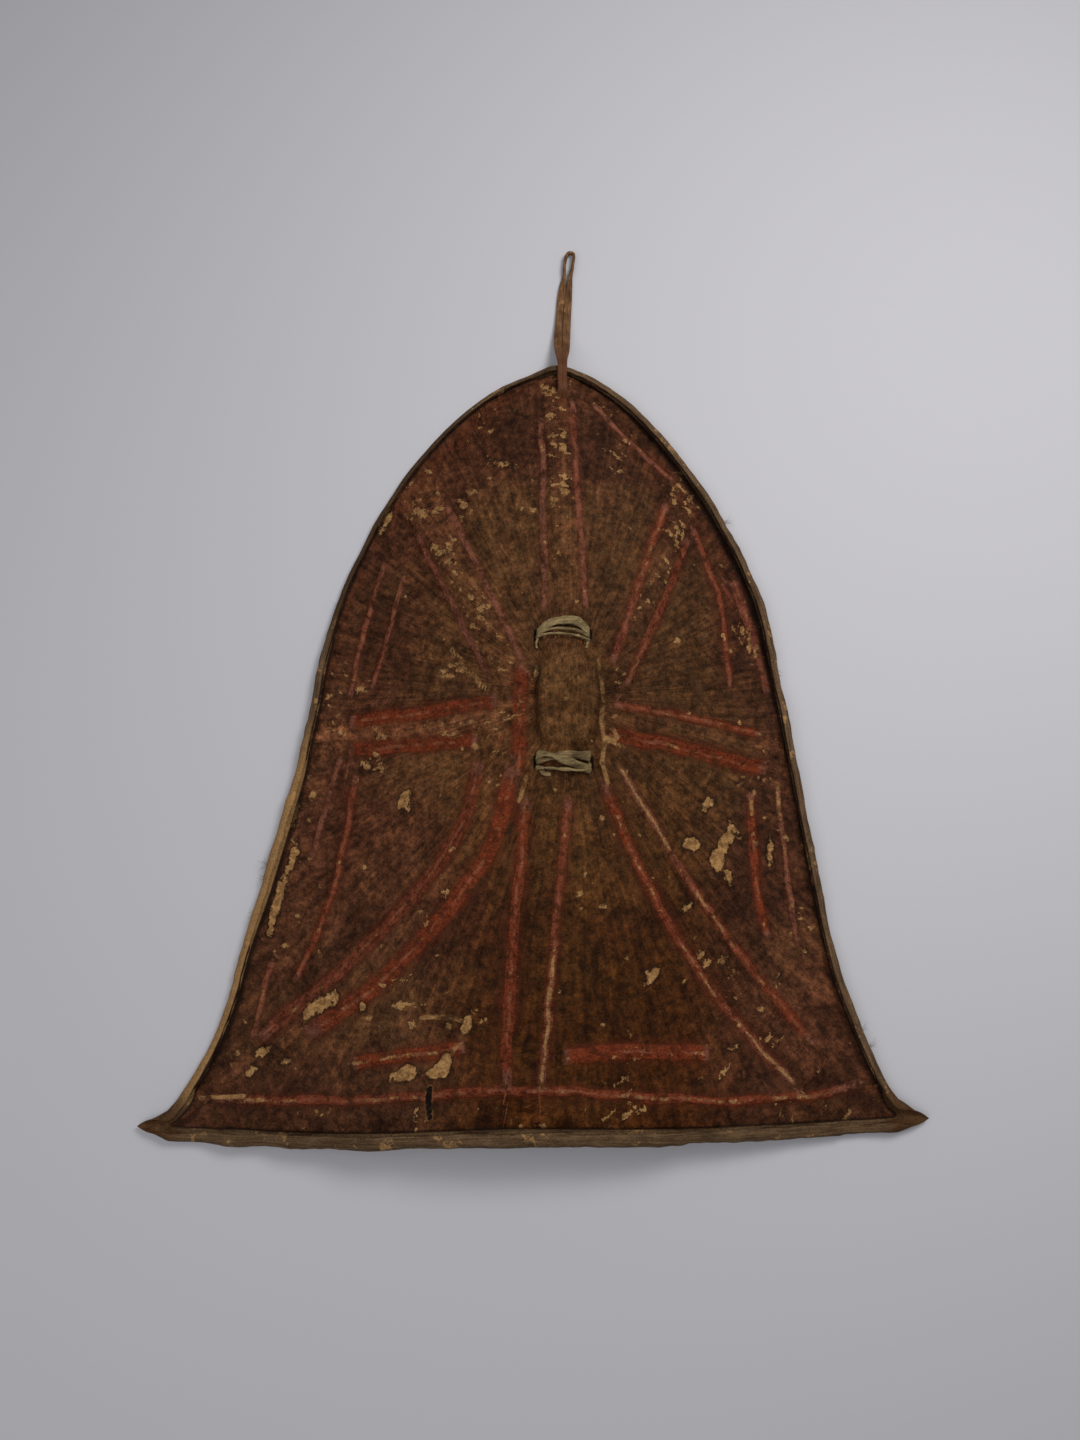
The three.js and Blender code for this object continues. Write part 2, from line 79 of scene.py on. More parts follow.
def smooth(start, end, value):
    # 0 before start, 1 after end, and an eased step 3t^2 - 2t^3 between
    share = np.clip((value - start) / (end - start), 0, 1)
    return share * share * (3 - 2 * share)


def bell(value, width):
    # a bell curve of height 1: e to the minus (value / width) squared
    return np.exp(-((value / width) ** 2))


def bezier(points, share):
    # the cubic curve of four points, each weighted by its Bernstein share
    share = np.asarray(share, float)[:, None]
    rest = 1 - share
    a, b, c, d = (np.array(point, float) for point in points)
    return rest**3 * a + 3 * rest**2 * share * b + 3 * rest * share**2 * c + share**3 * d


def lookUp(pairs, key):
    # a smooth curve through (key, value) pairs: cubic Hermite spans with central slopes
    keys, values = np.array(pairs, float).T
    slopes = np.empty(len(keys))
    slopes[1:-1] = (values[2:] - values[:-2]) / (keys[2:] - keys[:-2])
    slopes[0] = (values[1] - values[0]) / (keys[1] - keys[0])
    slopes[-1] = (values[-1] - values[-2]) / (keys[-1] - keys[-2])
    key = np.clip(key, keys[0], keys[-1])
    i = np.clip(np.searchsorted(keys, key, "right") - 1, 0, len(keys) - 2)
    span = keys[i + 1] - keys[i]
    t = (key - keys[i]) / span
    start = values[i] * (1 + 2 * t) * (1 - t) ** 2 + slopes[i] * span * t * (1 - t) ** 2
    return start + values[i + 1] * t**2 * (3 - 2 * t) - slopes[i + 1] * span * t**2 * (1 - t)


def throughPoints(points, count, closed=False):
    # a Catmull-Rom curve: each span is the cubic through two points, with slopes from their neighbours
    points = np.asarray(points, float)
    spans = len(points) if closed else len(points) - 1
    spot = np.linspace(0, spans, count, endpoint=not closed)
    i = np.minimum(spot.astype(int), spans - 1)
    t = (spot - i)[:, None]
    pick = (lambda k: points[k % len(points)]) if closed else (lambda k: points[np.clip(k, 0, spans)])
    a, b, c, d = pick(i - 1), pick(i), pick(i + 1), pick(i + 2)
    return b + 0.5 * t * (c - a + t * (2 * a - 5 * b + 4 * c - d + t * (3 * (b - c) + d - a)))


def ripples(x, y, size, seed, waves=14):
    # even noise from -1 to 1: a sum of cosine waves of about one length, each in a direction of its own
    draw = np.random.default_rng(seed)
    total = np.zeros(np.broadcast(x, y).shape)
    for angle, stretch, phase in draw.random((waves, 3)):
        heading = angle * math.tau
        length = size * (0.7 + 0.7 * stretch)
        run = (x * math.cos(heading) + y * math.sin(heading)) / length
        total += np.cos(math.tau * (run + phase))
    return total / math.sqrt(waves)


def nearPath(path, x, y):
    # for every point: the distance to a broken line, the side it is on, the share of the line's
    # length at the nearest place, and the offset from that place
    path = np.asarray(path, float)
    lengths = np.hypot(*np.diff(path, axis=0).T)
    best = np.full(x.shape, np.inf)
    side, share, offX, offY = (np.zeros(x.shape) for _ in range(4))
    before = 0.0
    for start, end, length in zip(path[:-1], path[1:], lengths):
        dx, dy = end - start
        t = np.clip(((x - start[0]) * dx + (y - start[1]) * dy) / (length * length), 0, 1)
        px, py = x - start[0] - t * dx, y - start[1] - t * dy
        gap = np.hypot(px, py)
        closer = gap < best
        best = np.where(closer, gap, best)
        side = np.where(closer, np.sign(dx * py - dy * px), side)
        share = np.where(closer, (before + t * length) / lengths.sum(), share)
        offX, offY = np.where(closer, px, offX), np.where(closer, py, offY)
        before += length
    return best, side, share, offX, offY


# The camera, the floor and the light
studio = {
    "cameraAt": (7.0, 201.3, 1112.7),  # drawing millimetres
    "cameraTilt": 9.3,  # degrees from straight down, toward the pointed top
    "lens": 28.0,
    "floorColour": (0.47, 0.465, 0.49),
    "floorSize": 9.0,
    "floorDrop": 0.0003,  # how far the floor lies below the hide, so the two never share a plane
    "worldLight": 0.24,
}


def buildStudio():
    camera = bpy.data.objects.new("camera", bpy.data.cameras.new("camera"))
    camera.data.lens = studio["lens"]
    camera.data.sensor_width = 36
    camera.data.clip_start = 0.01
    camera.location = metres(studio["cameraAt"])
    camera.rotation_euler = (math.radians(studio["cameraTilt"]), 0, 0)
    bpy.context.scene.collection.objects.link(camera)
    bpy.context.scene.camera = camera

    world = bpy.data.worlds.new("studio")
    world.use_nodes = True
    sky = world.node_tree.nodes["Background"]
    sky.inputs["Color"].default_value = (0.96, 0.97, 1.0, 1)
    sky.inputs["Strength"].default_value = studio["worldLight"]
    bpy.context.scene.world = world

    # name, place, what it faces, size, power and colour, in metres and watts
    lamps = [
        ("key", (0.62, 0.52, 1.25), (0.2, 0.05, 0), 0.6, 15, (1.0, 0.985, 0.965)),
        ("fill", (-0.6, -0.5, 1.6), (0, -0.3, 0), 1.6, 12, (0.97, 0.98, 1.0)),
    ]
    for name, place, target, size, power, colour in lamps:
        lamp = bpy.data.objects.new(name, bpy.data.lights.new(name, "AREA"))
        lamp.data.shape = "SQUARE"
        lamp.data.size = size
        lamp.data.energy = power
        lamp.data.color = colour
        lamp.location = place
        aim = np.array(target) - place
        lamp.rotation_euler = (math.acos(-aim[2] / np.linalg.norm(aim)), 0, math.atan2(-aim[0], aim[1]))
        bpy.context.scene.collection.objects.link(lamp)

    half = studio["floorSize"] / 2
    mesh = bpy.data.meshes.new("floor")
    low = cadBox[0].z - studio["floorDrop"]
    corners = [(-half, -half, low), (half, -half, low), (half, half, low), (-half, half, low)]
    mesh.from_pydata(corners, [], [(0, 1, 2, 3)])
    floor = bpy.data.objects.new("floor", mesh)
    bpy.context.scene.collection.objects.link(floor)
    paper = bpy.data.materials.new("palePaper")
    paper.use_nodes = True
    finish = paper.node_tree.nodes["Principled BSDF"]
    finish.inputs["Base Color"].default_value = (*studio["floorColour"], 1)
    finish.inputs["Roughness"].default_value = 0.85
    mesh.materials.append(paper)
    bpy.context.scene.view_settings.view_transform = "Standard"


buildStudio()
print("stage: camera, floor and light")

# The hide's sizes, in millimetres
hide = {
    "thickness": 4.5,
    "restingFlat": 0.6,
    "sideRim": 5.4,  # radius of the curled margin's centre line
    "topRim": 5.0,
    "earRim": 5.4,
    "bottomRim": 8.0,
    "curlSweep": 175,  # degrees turned from flat
    "cuffHalf": 1.5,  # half the thickness at the curl's free edge
    "lipBottom": 3.0,
    "lipSide": 0.6,
    "earReach": 24,
    "earRise": 4,
    "earTipHalf": 1.2,
    "hemShift": 4.5,  # how far the plain margin reaches in over the paint, below and at the left
    "hub": (0, 130),  # where the mesh's spokes meet
    "frontRings": (0.012, 0.985, 124),  # first and last share of a spoke, and how many rings
    "backRings": (0.985, 0.03, 34),
    "curlSteps": 10,
    "edgeLength": 2300,  # about how far it is round the edge
    "earWidth": 0.46,  # share of the ear's curve on each side that is drawn out into its point
    "earPower": 2.1,  # above 1 the ear's two sides are hollow, like a horn's
    "bossCentre": (33, 391),
    "bossHalf": (31, 50),
    "bossSquareness": 3,  # 2 is an oval, and more is squarer
    "bossHeight": 15,
    "archHeight": 70,
    "archFoot": 26,
    "archTop": 62,
    "archSpread": 0.62,
    "archPower": 2.4,
    "archReach": 0.87,
    "archSoft": 30,
    "edgeLift": 4,
    "ribHeight": 5,
    "slotSide": 26.5,  # from the middle of the hand bar to a thong's slot
    "slotLevels": (331, 455),
    "pressedRim": 0.45,  # share of the curl's radius lost where it is pressed thin
    "rimWander": 0.09,  # how unevenly the margin is curled
    "swell": 0.9,  # slow unevenness of the face
    "cockle": 0.28,  # small unevenness of the face
    "welt": 1.5,  # height of a raised painted line
    "crease": 1.0,  # depth of the fold just inside the curl
}
crown, foot = (28, 754.5), (0, -16)
waistRight, hemRight, rootRight, footRight = (243, 460), (300, 127), (347, 19), (343, -12)
waistLeft, hemLeft, rootLeft, footLeft = (-221, 404), (-290, 123), (-346, 8), (-343, -20)
# Each part of the edge: its curve, stations, curl radius at both ends, and which side it belongs to
outline = [
    ([crown, (116, 754.5), (234, 556), waistRight], 84, ("topRim", "sideRim"), "right"),
    ([waistRight, (260, 357), (288, 165), hemRight], 60, ("sideRim", "sideRim"), "right"),
    ([hemRight, (316, 82), (330, 40), rootRight], 28, ("sideRim", "earRim"), "right"),
    ([rootRight, (362, 11), (362, -8), footRight], 26, ("earRim", "earRim"), "ear"),
    ([footRight, (200, -21), (110, -17), foot], 60, ("earRim", "bottomRim"), "bottom"),
    ([foot, (-100, -16), (-200, -32), footLeft], 60, ("bottomRim", "earRim"), "bottom"),
    ([footLeft, (-361, -14), (-360, 3), rootLeft], 26, ("earRim", "earRim"), "ear"),
    ([rootLeft, (-331, 20), (-303, 71), hemLeft], 28, ("earRim", "sideRim"), "left"),
    ([hemLeft, (-281, 175), (-233, 325), waistLeft], 60, ("sideRim", "sideRim"), "left"),
    ([waistLeft, (-208, 553), (-91, 754.5), crown], 84, ("sideRim", "topRim"), "left"),
]
ridgeLine = [(-20, -10), (150, 0), (300, 14), (391, 32), (530, 31), (760, 27)]  # y and x along the ridge
ribs = [
    ([(32, 420), (31, 530), (27, 735)], 21),
    ([(-15, 402), (-64, 503), (-108, 597)], 20),
    ([(78, 404), (115, 500), (150, 592)], 18),
    ([(-25, 375), (-114, 369), (-190, 365)], 18),
    ([(60, 374), (153, 364), (236, 349)], 18),
    ([(-28, 350), (-54, 260), (-110, 186), (-168, 130), (-244, 71)], 19),
    ([(24, 340), (8, 241), (0, 150), (-8, 30)], 20),
    ([(66, 335), (130, 218), (190, 130), (263, 46)], 19),
]


def sideEdge(side, y):
    # the edge's x on one side at each height, read from its sampled curves
    samples = np.vstack([bezier(curve, np.linspace(0, 1, 41)) for curve, _, _, part in outline if part == side])
    order = np.argsort(samples[:, 1])
    return np.interp(y, samples[order, 1], samples[order, 0])


def bossReach(x, y):
    # 0 at the middle of the boss and 1 at its half size: the root of the summed powers of both shares
    middles, halves = hide["bossCentre"], hide["bossHalf"]
    across, along = ((value - middle) / half for value, middle, half in zip((x, y), middles, halves))
    power = hide["bossSquareness"]
    return (np.abs(across) ** power + np.abs(along) ** power) ** (1 / power)


def sheetHeight(x, y):
    # height of the middle of the sheet: an arch across the width that falls as e to the minus
    # (share of the half width) to a power, along a ridge that is highest at the boss, with
    # warped long sides, eased ribs along their paths and a rounded oblong boss
    axis = lookUp(ridgeLine, y)
    edge = np.where(x < axis, sideEdge("left", y), sideEdge("right", y))
    across = np.abs(x - axis) / np.hypot(edge - axis, hide["archSoft"])
    power, spread = hide["archPower"], hide["archSpread"]
    rest = math.exp(-((hide["archReach"] / spread) ** power))
    fall = np.maximum((np.exp(-((across / spread) ** power)) - rest) / (1 - rest), 0)
    bossY = hide["bossCentre"][1]
    down = np.clip((bossY - y) / (bossY - foot[1]), 0, 1)
    up = np.clip((y - bossY) / (crown[1] - bossY), 0, 1)
    ridge = hide["archHeight"] - hide["archFoot"] * down**2 - hide["archTop"] * up**1.8
    warp = hide["edgeLift"] * smooth(0.6, 1, across) * np.sin(math.pi * smooth(60, 640, y)) ** 2
    rib = np.zeros(np.shape(x))
    for path, reach in ribs:
        rib = np.maximum(rib, 1 - smooth(0.25, 1, nearPath(path, x, y)[0] / reach))
    boss = hide["bossHeight"] * (1 - smooth(0.66, 1.1, bossReach(x, y)))
    base = hide["thickness"] / 2 - hide["restingFlat"]
    return base + ridge * fall + warp + np.maximum(hide["ribHeight"] * rib, boss)


def halfUpright(x, y):
    # half the thickness measured straight up, longer where the sheet slopes
    slopeX = (sheetHeight(x + 2, y) - sheetHeight(x - 2, y)) / 4
    slopeY = (sheetHeight(x, y + 2) - sheetHeight(x, y - 2)) / 4
    return hide["thickness"] / 2 * np.sqrt(1 + slopeX**2 + slopeY**2)


def line(path, red, bare, half, stain):
    # a painted line: how red and how worn to bare hide at its two ends, half its width, and how
    # far its stain spreads
    return {"path": path, "red": red, "bare": bare, "half": half, "stain": stain}


# A band is the ground between two raised lines, which run outward from the boss
bands = {
    "north": [
        line([(10, 473), (12, 530), (10, 594), (8, 700)], (0.45, 0.40), (0.2, 0.3), 2.9, 13),
        line([(53, 474), (49, 530), (45, 595), (40, 718)], (0.50, 0.65), (0.2, 0.3), 3.2, 13),
    ],
    "northWest": [
        line([(-40, 411), (-81, 495), (-121, 577)], (0.45, 0.6), (0.2, 0.1), 2.8, 16),
        line([(-7, 424), (-47, 512), (-90, 607)], (0.4, 0.5), (0.1, 0.2), 3.2, 15),
    ],
    "northEast": [
        line([(74, 421), (105, 515), (138, 609)], (0.6, 0.8), (0.1, 0.5), 3.9, 18),
        line([(88, 402), (125, 486), (160, 572)], (0.65, 0.75), (0.2, 0.2), 3.3, 15),
    ],
    "west": [
        line([(-31, 391), (-109, 385), (-187, 379)], (1.0, 0.85), (0.4, 0.2), 6.4, 13),
        line([(-50, 355), (-119, 353), (-186, 351)], (1.0, 0.95), (0.2, 0.2), 6.4, 13),
    ],
    "east": [
        line([(73, 387), (153, 380), (231, 367)], (0.7, 0.9), (0.3, 0.3), 3.8, 14),
        line([(68, 358), (153, 348), (235, 332)], (1.0, 1.0), (0.4, 0.4), 6.4, 16),
    ],
    "southWest": [
        line([(-16, 334), (-39, 250), (-95, 177), (-153, 121), (-220, 74)], (0.95, 0.8), (0.1, 0.3), 7.2, 22),
        line([(-49, 344), (-68, 269), (-125, 195), (-183, 139), (-269, 68)], (0.75, 0.65), (0.2, 0.5), 6.0, 18),
    ],
    "south": [
        line([(-5, 305), (-11, 241), (-19, 150), (-24, 34)], (0.8, 0.8), (0.2, 0.4), 5.0, 22),
        line([(35, 305), (28, 241), (19, 150), (8, 34)], (0.75, 0.6), (0.2, 1.0), 3.8, 15),
    ],
    "southEast": [
        line([(63, 320), (110, 214), (176, 112), (252, 28)], (0.9, 0.6), (0.3, 0.9), 4.2, 20),
        line([(78, 334), (149, 223), (203, 148), (274, 64)], (0.45, 0.9), (1.0, 0.3), 4.2, 16),
    ],
}
# How flecked and how pale the ground of each band is
bandFlecks = {"north": 0.70, "northWest": 0.74, "northEast": 0.76, "west": 0.62, "southWest": 0.42,
              "southEast": 0.35}
bandGlow = {"north": 0.35, "northWest": 0.5, "northEast": 0.3, "west": 1.0, "east": 0.35, "southWest": 0.35}
# Places outside the bands where the paint is flecked: centre, reach and amount
fleckZones = [
    (-45, 640, 28, 1.0), (-66, 606, 22, 1.0), (-52, 500, 20, 0.8), (-175, 420, 22, 0.6), (205, 470, 28, 0.9),
    (-150, 330, 26, 0.7), (85, 660, 30, 0.5), (-240, 45, 30, 0.6), (-105, 115, 30, 0.8), (95, 45, 50, 0.45),
    (180, 45, 40, 0.45), (230, 130, 30, 0.4), (90, 8, 40, 0.5), (-20, 8, 40, 0.4), (160, 150, 18, 0.6),
    (46, 215, 14, 0.5), (-50, 100, 22, 0.6), (-20, 210, 12, 0.4), (-75, 430, 20, 0.8), (180, 390, 16, 0.6),
    (-190, 205, 22, 0.5), (25, 120, 16, 0.5),
]
# Places where the paint has held: centre and reach
soundZones = [(31, 492, 42), (150, 375, 60), (-60, 260, 30), (33, 391, 62)]
# Painted lines that belong to no band
strokes = {
    "besideBoss": line([(-10, 428), (-12, 380), (-14, 318)], (0.8, 0.95), (0.0, 0.1), 5.8, 14),
    "leftBorderOuter": line([(-151, 547), (-174, 463), (-183, 402)], (0.6, 0.6), (0.1, 0.2), 3.0, 14),
    "leftBorderInner": line([(-130, 534), (-148, 461), (-162, 411)], (0.4, 0.7), (0.1, 0.1), 2.5, 16),
    "leftHemOuter": line([(-191, 346), (-218, 243)], (0.5, 0.4), (0.2, 0.2), 3.0, 12),
    "leftHemInner": line([(-175, 331), (-187, 243), (-207, 176), (-232, 124)], (0.7, 0.8), (0.2, 0.4), 3.2, 14),
    "leftFlare": line([(-253, 147), (-270, 73)], (0.6, 0.5), (0.2, 0.4), 3.0, 12),
    "rightBorderInner": line([(161, 589), (189, 504), (196, 411)], (0.7, 0.7), (0.1, 0.2), 3.2, 18),
    "rightBorderOuter": line([(205, 530), (222, 473), (238, 408)], (0.6, 0.6), (0.2, 0.3), 5.5, 12),
    "rightHemInner": line([(216, 311), (217, 224), (228, 167)], (0.8, 0.9), (0.4, 0.4), 4, 14),
    "rightHemOuter": line([(242, 318), (247, 245), (258, 157)], (0.5, 0.5), (0.9, 0.2), 3, 12),
    "crownArc": line([(59, 715), (110, 664), (147, 632)], (0.35, 0.6), (0.2, 0.2), 3.0, 20),
    "leftBar": line([(-170, 54), (-110, 64), (-60, 71)], (0.9, 1.0), (0.7, 0.4), 5.8, 12),
    "rightBar": line([(26, 63), (100, 67), (168, 62)], (1.0, 1.0), (0.1, 0.3), 7.4, 12),
    "hemLine": line([(-316, 19), (-206, 18), (-136, 23), (-77, 30), (6, 34), (98, 26), (213, 18), (290, 27),
                     (325, 36)],
                    (0.7, 0.8), (0.5, 0.5), 4.0, 16),
}
# Broad differences over the face: centre, reach and how much paler or darker the hide is there;
# the first two, paler at the left and toward the top, are painted sheen, the others the hide's own
toneAndSheenZones = [
    (-170, 290, 150, 1.55), (-60, 620, 60, 1.35), (-205, 150, 70, 1.15), (60, 125, 75, 0.66), (100, 400, 85, 0.80),
    (100, 270, 60, 0.88), (240, 90, 85, 1.45), (-100, 60, 45, 1.30), (-200, 60, 45, 1.30), (-70, 500, 60, 1.15),
    (0, 380, 60, 1.15), (-265, 60, 35, 0.85), (0, 12, 30, 1.25), (150, 10, 30, 1.25), (-180, 10, 30, 1.10),
    (-90, 15, 12, 0.55), (-40, 60, 60, 0.95), (-150, 470, 60, 0.90),
]
# Wide smears of thin red paint near the upper margin
smears = [
    {"path": [(-28, 722), (-60, 695), (-88, 671), (-112, 647), (-135, 618), (-153, 588)], "half": 11,
     "strength": 0.55},
    {"path": [(-153, 588), (-179, 530), (-192, 483), (-204, 426)], "half": 7, "strength": 0.32},
    {"path": [(110, 664), (147, 637), (179, 588), (205, 530), (222, 473)], "half": 8, "strength": 0.42},
    {"path": [(28, 742), (27, 700)], "half": 9, "strength": 0.4},
]
# Thin scars worn down to the pale hide, the first of them raised
scars = [
    [(62, 430), (64, 416), (67, 392), (64, 370), (68, 353), (65, 331), (70, 312)],
    [(69, 356), (81, 348), (88, 347)],
    [(64, 371), (76, 363), (80, 355)],
    [(-84, 458), (-79, 445), (-70, 436), (-66, 424), (-55, 417), (-51, 408), (-42, 403)],
    [(-72, 430), (-52, 414)],
    [(-103, 97), (-77, 99), (-60, 94), (-64, 80), (-77, 62), (-81, 50)],
    [(202, 315), (221, 325), (242, 318), (243, 276)],
    [(4, 423), (3, 410)],
    [(-316, 19), (-273, 21)],
    [(-6, 318), (-12, 296)],
]
hemSplit = [(-94, 34), (-95, 22), (-94, 8)]  # a short split in the hem
# Places where the painted skin has flaked off: centre, half length, half width and turn in degrees
flakes = [
    (197, 274, 9, 4, -60), (185, 257, 14, 6, 62), (179, 243, 13, 8, 85), (189, 227, 10, 5, -60),
    (171, 297, 8, 4.5, 35), (153, 257, 9, 6, 10), (111, 134, 9, 4, 60), (106, 139, 6, 3, 0),
    (-125, 299, 9, 4.5, 65), (-120, 292, 5, 3, 20), (-208, 105, 9, 4.6, 64), (-197, 108, 10, 5.4, 40),
    (-187, 113, 7, 4, 100), (-214, 98, 7, 3.6, 60), (-160, 103, 6, 3.4, 80),
    (-236, 52, 6, 3, 30), (-105, 14, 7, 3, 80),
    (-118, 46, 14, 7, 15), (-80, 56, 12, 6, 60), (-88, 47, 8, 4, 0), (-269, 42, 6, 4, 40), (-258, 62, 7, 4, 20),
    (-238, 240, 16, 3.2, 75), (-247, 210, 22, 4.6, 76), (-254, 184, 12, 3.6, 78), (-234, 292, 13, 2.4, 72),
    (-153, 591, 12, 4.5, 66), (-60, 90, 9, 4, 70), (233, 257, 8, 3.2, 85), (236, 246, 6, 2.6, 60),
    (189, 67, 7, 3, 20), (145, 197, 6, 3, 40), (24, 121, 4, 2, 60), (4, 416, 6, 3, 85),
]
gathering = {"spread": 9.0, "pull": 0.66}  # how wide and how strongly the mesh gathers at each line
far = 1000.0  # millimetres: further than any line lies from the face


def allLines():
    # every line as its entry, its smoothed path, the middle of its partner or None, and how pale
    # and how flecked its band is
    found = []
    for name, pair in bands.items():
        first, second = (throughPoints(entry["path"], 14) for entry in pair)
        worn = (bandGlow.get(name, 0.0), bandFlecks.get(name, 0.0))
        found += [(pair[0], first, second[7], worn), (pair[1], second, first[7], worn)]
    return found + [(entry, throughPoints(entry["path"], 12), None, (0.0, 0.0)) for entry in strokes.values()]


lines = allLines()


def lineFields(x, y):
    # for every point, from the line nearest to it: distance, half width, red, bare, and the offset
    # from it; band is the signed distance to the nearest band edge, positive inside the band;
    # stroke is the signed distance to the nearest line that belongs to no band, strokeGap the plain one
    blank = np.zeros(x.shape)
    field = dict.fromkeys(("red", "bare", "offX", "offY", "stain", "share", "glow", "flecks"), blank)
    field |= {"gap": blank + far, "half": blank + 1, "band": blank - far, "stroke": blank + far,
              "strokeGap": blank + far}
    pairGap = []
    for entry, path, partner, (glow, flecks) in lines:
        gap, side, share, offX, offY = nearPath(path, x, y)
        fade = np.where((share <= 0) | (share >= 1), 0.0, 1.0) * smooth(0, 0.03, share) * smooth(1, 0.97, share)
        closer = gap < field["gap"]
        values = {"gap": gap, "half": blank + entry["half"], "offX": offX, "offY": offY, "share": share}
        for key in ("red", "bare"):
            values[key] = entry[key][0] + (entry[key][1] - entry[key][0]) * share
        for key, value in values.items():
            field[key] = np.where(closer, value, field[key])
        stain = entry["red"][0] * bell(gap, 0.8 * entry["stain"]) * (0.35 + 0.65 * fade)
        field["stain"] = np.maximum(field["stain"], stain)
        if partner is None:
            field["stroke"] = np.where(gap < field["strokeGap"], np.where(side < 0, -gap, gap), field["stroke"])
            field["strokeGap"] = np.minimum(gap, field["strokeGap"])
            continue
        inward = nearPath(path, np.array([partner[0]]), np.array([partner[1]]))[1][0]
        pairGap.append(np.where(side == 0, 1, side) * inward * gap)
        if len(pairGap) == 2:
            signed = np.minimum(*pairGap)
            nearer = np.abs(signed) < np.abs(field["band"])
            field["glow"] = np.where(nearer, glow, field["glow"])
            field["flecks"] = np.where(nearer, flecks, field["flecks"])
            field["band"] = np.where(nearer, signed, field["band"])
            pairGap = []
    return field


def nearestOf(paths, x, y):
    # the distance to the nearest of several broken lines
    return np.minimum.reduce([nearPath(path, x, y)[0] for path in paths])


def flakeDistance(x, y):
    # about the distance in millimetres to the nearest flaked place, negative inside it
    best = np.full(x.shape, 60.0)
    for centreX, centreY, halfLong, halfWide, turn in flakes:
        c, s = math.cos(math.radians(turn)), math.sin(math.radians(turn))
        run = ((x - centreX) * c + (y - centreY) * s) / halfLong
        rise = ((y - centreY) * c - (x - centreX) * s) / halfWide
        best = np.minimum(best, (np.hypot(run, rise) - 1) * min(halfLong, halfWide))
    return best


def faceRelief(x, y):
    # what stands on the smooth sheet: slow swells, small cockles, a rounded welt along each line
    # that fades at its ends, a scar beside the boss, a split in the hem, wrinkles across the
    # bands, furrows that run out from the boss between them, and hollows at the thongs' slots
    field = lineFields(x, y)
    ends = smooth(0, 0.05, field["share"]) * smooth(1, 0.95, field["share"])
    welt = hide["welt"] * bell(field["gap"], field["half"] * 0.75) * ends
    welt = welt * (1 + 0.35 * ripples(x, y, 14, 31))
    swell = hide["swell"] * ripples(x, y, 95, 21) + hide["cockle"] * ripples(x, y, 19, 22)
    scar = 1.5 * bell(nearPath(scars[0], x, y)[0], 2.6) * (0.75 + 0.4 * ripples(x, y, 11, 41))
    split = -1.8 * bell(nearPath(hemSplit, x, y)[0], 2.2)
    bossX, bossY = hide["bossCentre"]
    spokeAngle = np.arctan2(y - bossY, x - bossX)
    spokeReach = np.hypot(x - bossX, y - bossY)
    inside = smooth(0, 5, field["band"]) * 0.30 * ripples(spokeReach, 30 * spokeAngle, 9, 23)
    furrows = 0.45 * ripples(spokeReach * 0.25, 160 * spokeAngle, 17, 24)
    furrows = furrows * smooth(2, -8, field["band"]) * smooth(50, 90, spokeReach)
    slots = 0 * x
    for level in hide["slotLevels"]:
        for place in (gripX - hide["slotSide"], gripX + hide["slotSide"]):
            slots = slots - 2.4 * bell(nearPath([(place, level - 5), (place, level + 5)], x, y)[0], 3.2)
    return swell + welt + scar + split + inside + furrows + slots


def stationTable():
    # for each station round the edge: point, outward direction, curl radius, ear and bottom shares,
    # and the distance run along the edge
    points, rims, ears, bottoms = [], [], [], []
    for curve, count, (rimStart, rimEnd), part in outline:
        share = np.arange(count) / count
        point = bezier(curve, share)
        points.append(point)
        rims.append(hide[rimStart] + (hide[rimEnd] - hide[rimStart]) * smooth(0, 1, share))
        horn = np.maximum(1 - np.abs(share - 0.5) / hide["earWidth"], 0) ** hide["earPower"]
        ears.append(horn if part == "ear" else 0 * share)
        bottoms.append(smooth(330, 260, np.abs(point[:, 0])) if part == "bottom" else 0 * share)
    point = np.vstack(points)
    along = np.roll(point, -1, 0) - np.roll(point, 1, 0)
    out = np.column_stack([-along[:, 1], along[:, 0]]) / np.hypot(*along.T)[:, None]
    run = np.concatenate([[0], np.cumsum(np.hypot(*np.diff(point, axis=0).T))])
    return point, out, np.concatenate(rims), np.concatenate(ears), np.concatenate(bottoms), run


edgePoint, edgeOut, edgeRim, edgeEar, edgeBottom, edgeRun = stationTable()
# The margin is pressed thin along the upper left side and rolls back to full size below the waist
pressed = smooth(-60, -110, edgePoint[:, 0]) * smooth(455, 520, edgePoint[:, 1])
pressed = np.maximum(pressed, smooth(20, -10, edgePoint[:, 0]) * smooth(640, 700, edgePoint[:, 1]))
edgeRim = edgeRim * (1 - hide["pressedRim"] * pressed)
edgeRim = edgeRim * (1 + 0.35 * smooth(-120, -330, edgePoint[:, 0]) * edgeBottom)
edgeSpine = edgePoint - edgeOut * (edgeRim + hide["thickness"] / 2)[:, None]


def edgeRipples(size, seed):
    # even noise along the edge
    return ripples(edgeRun, 0 * edgeRun, size, seed)


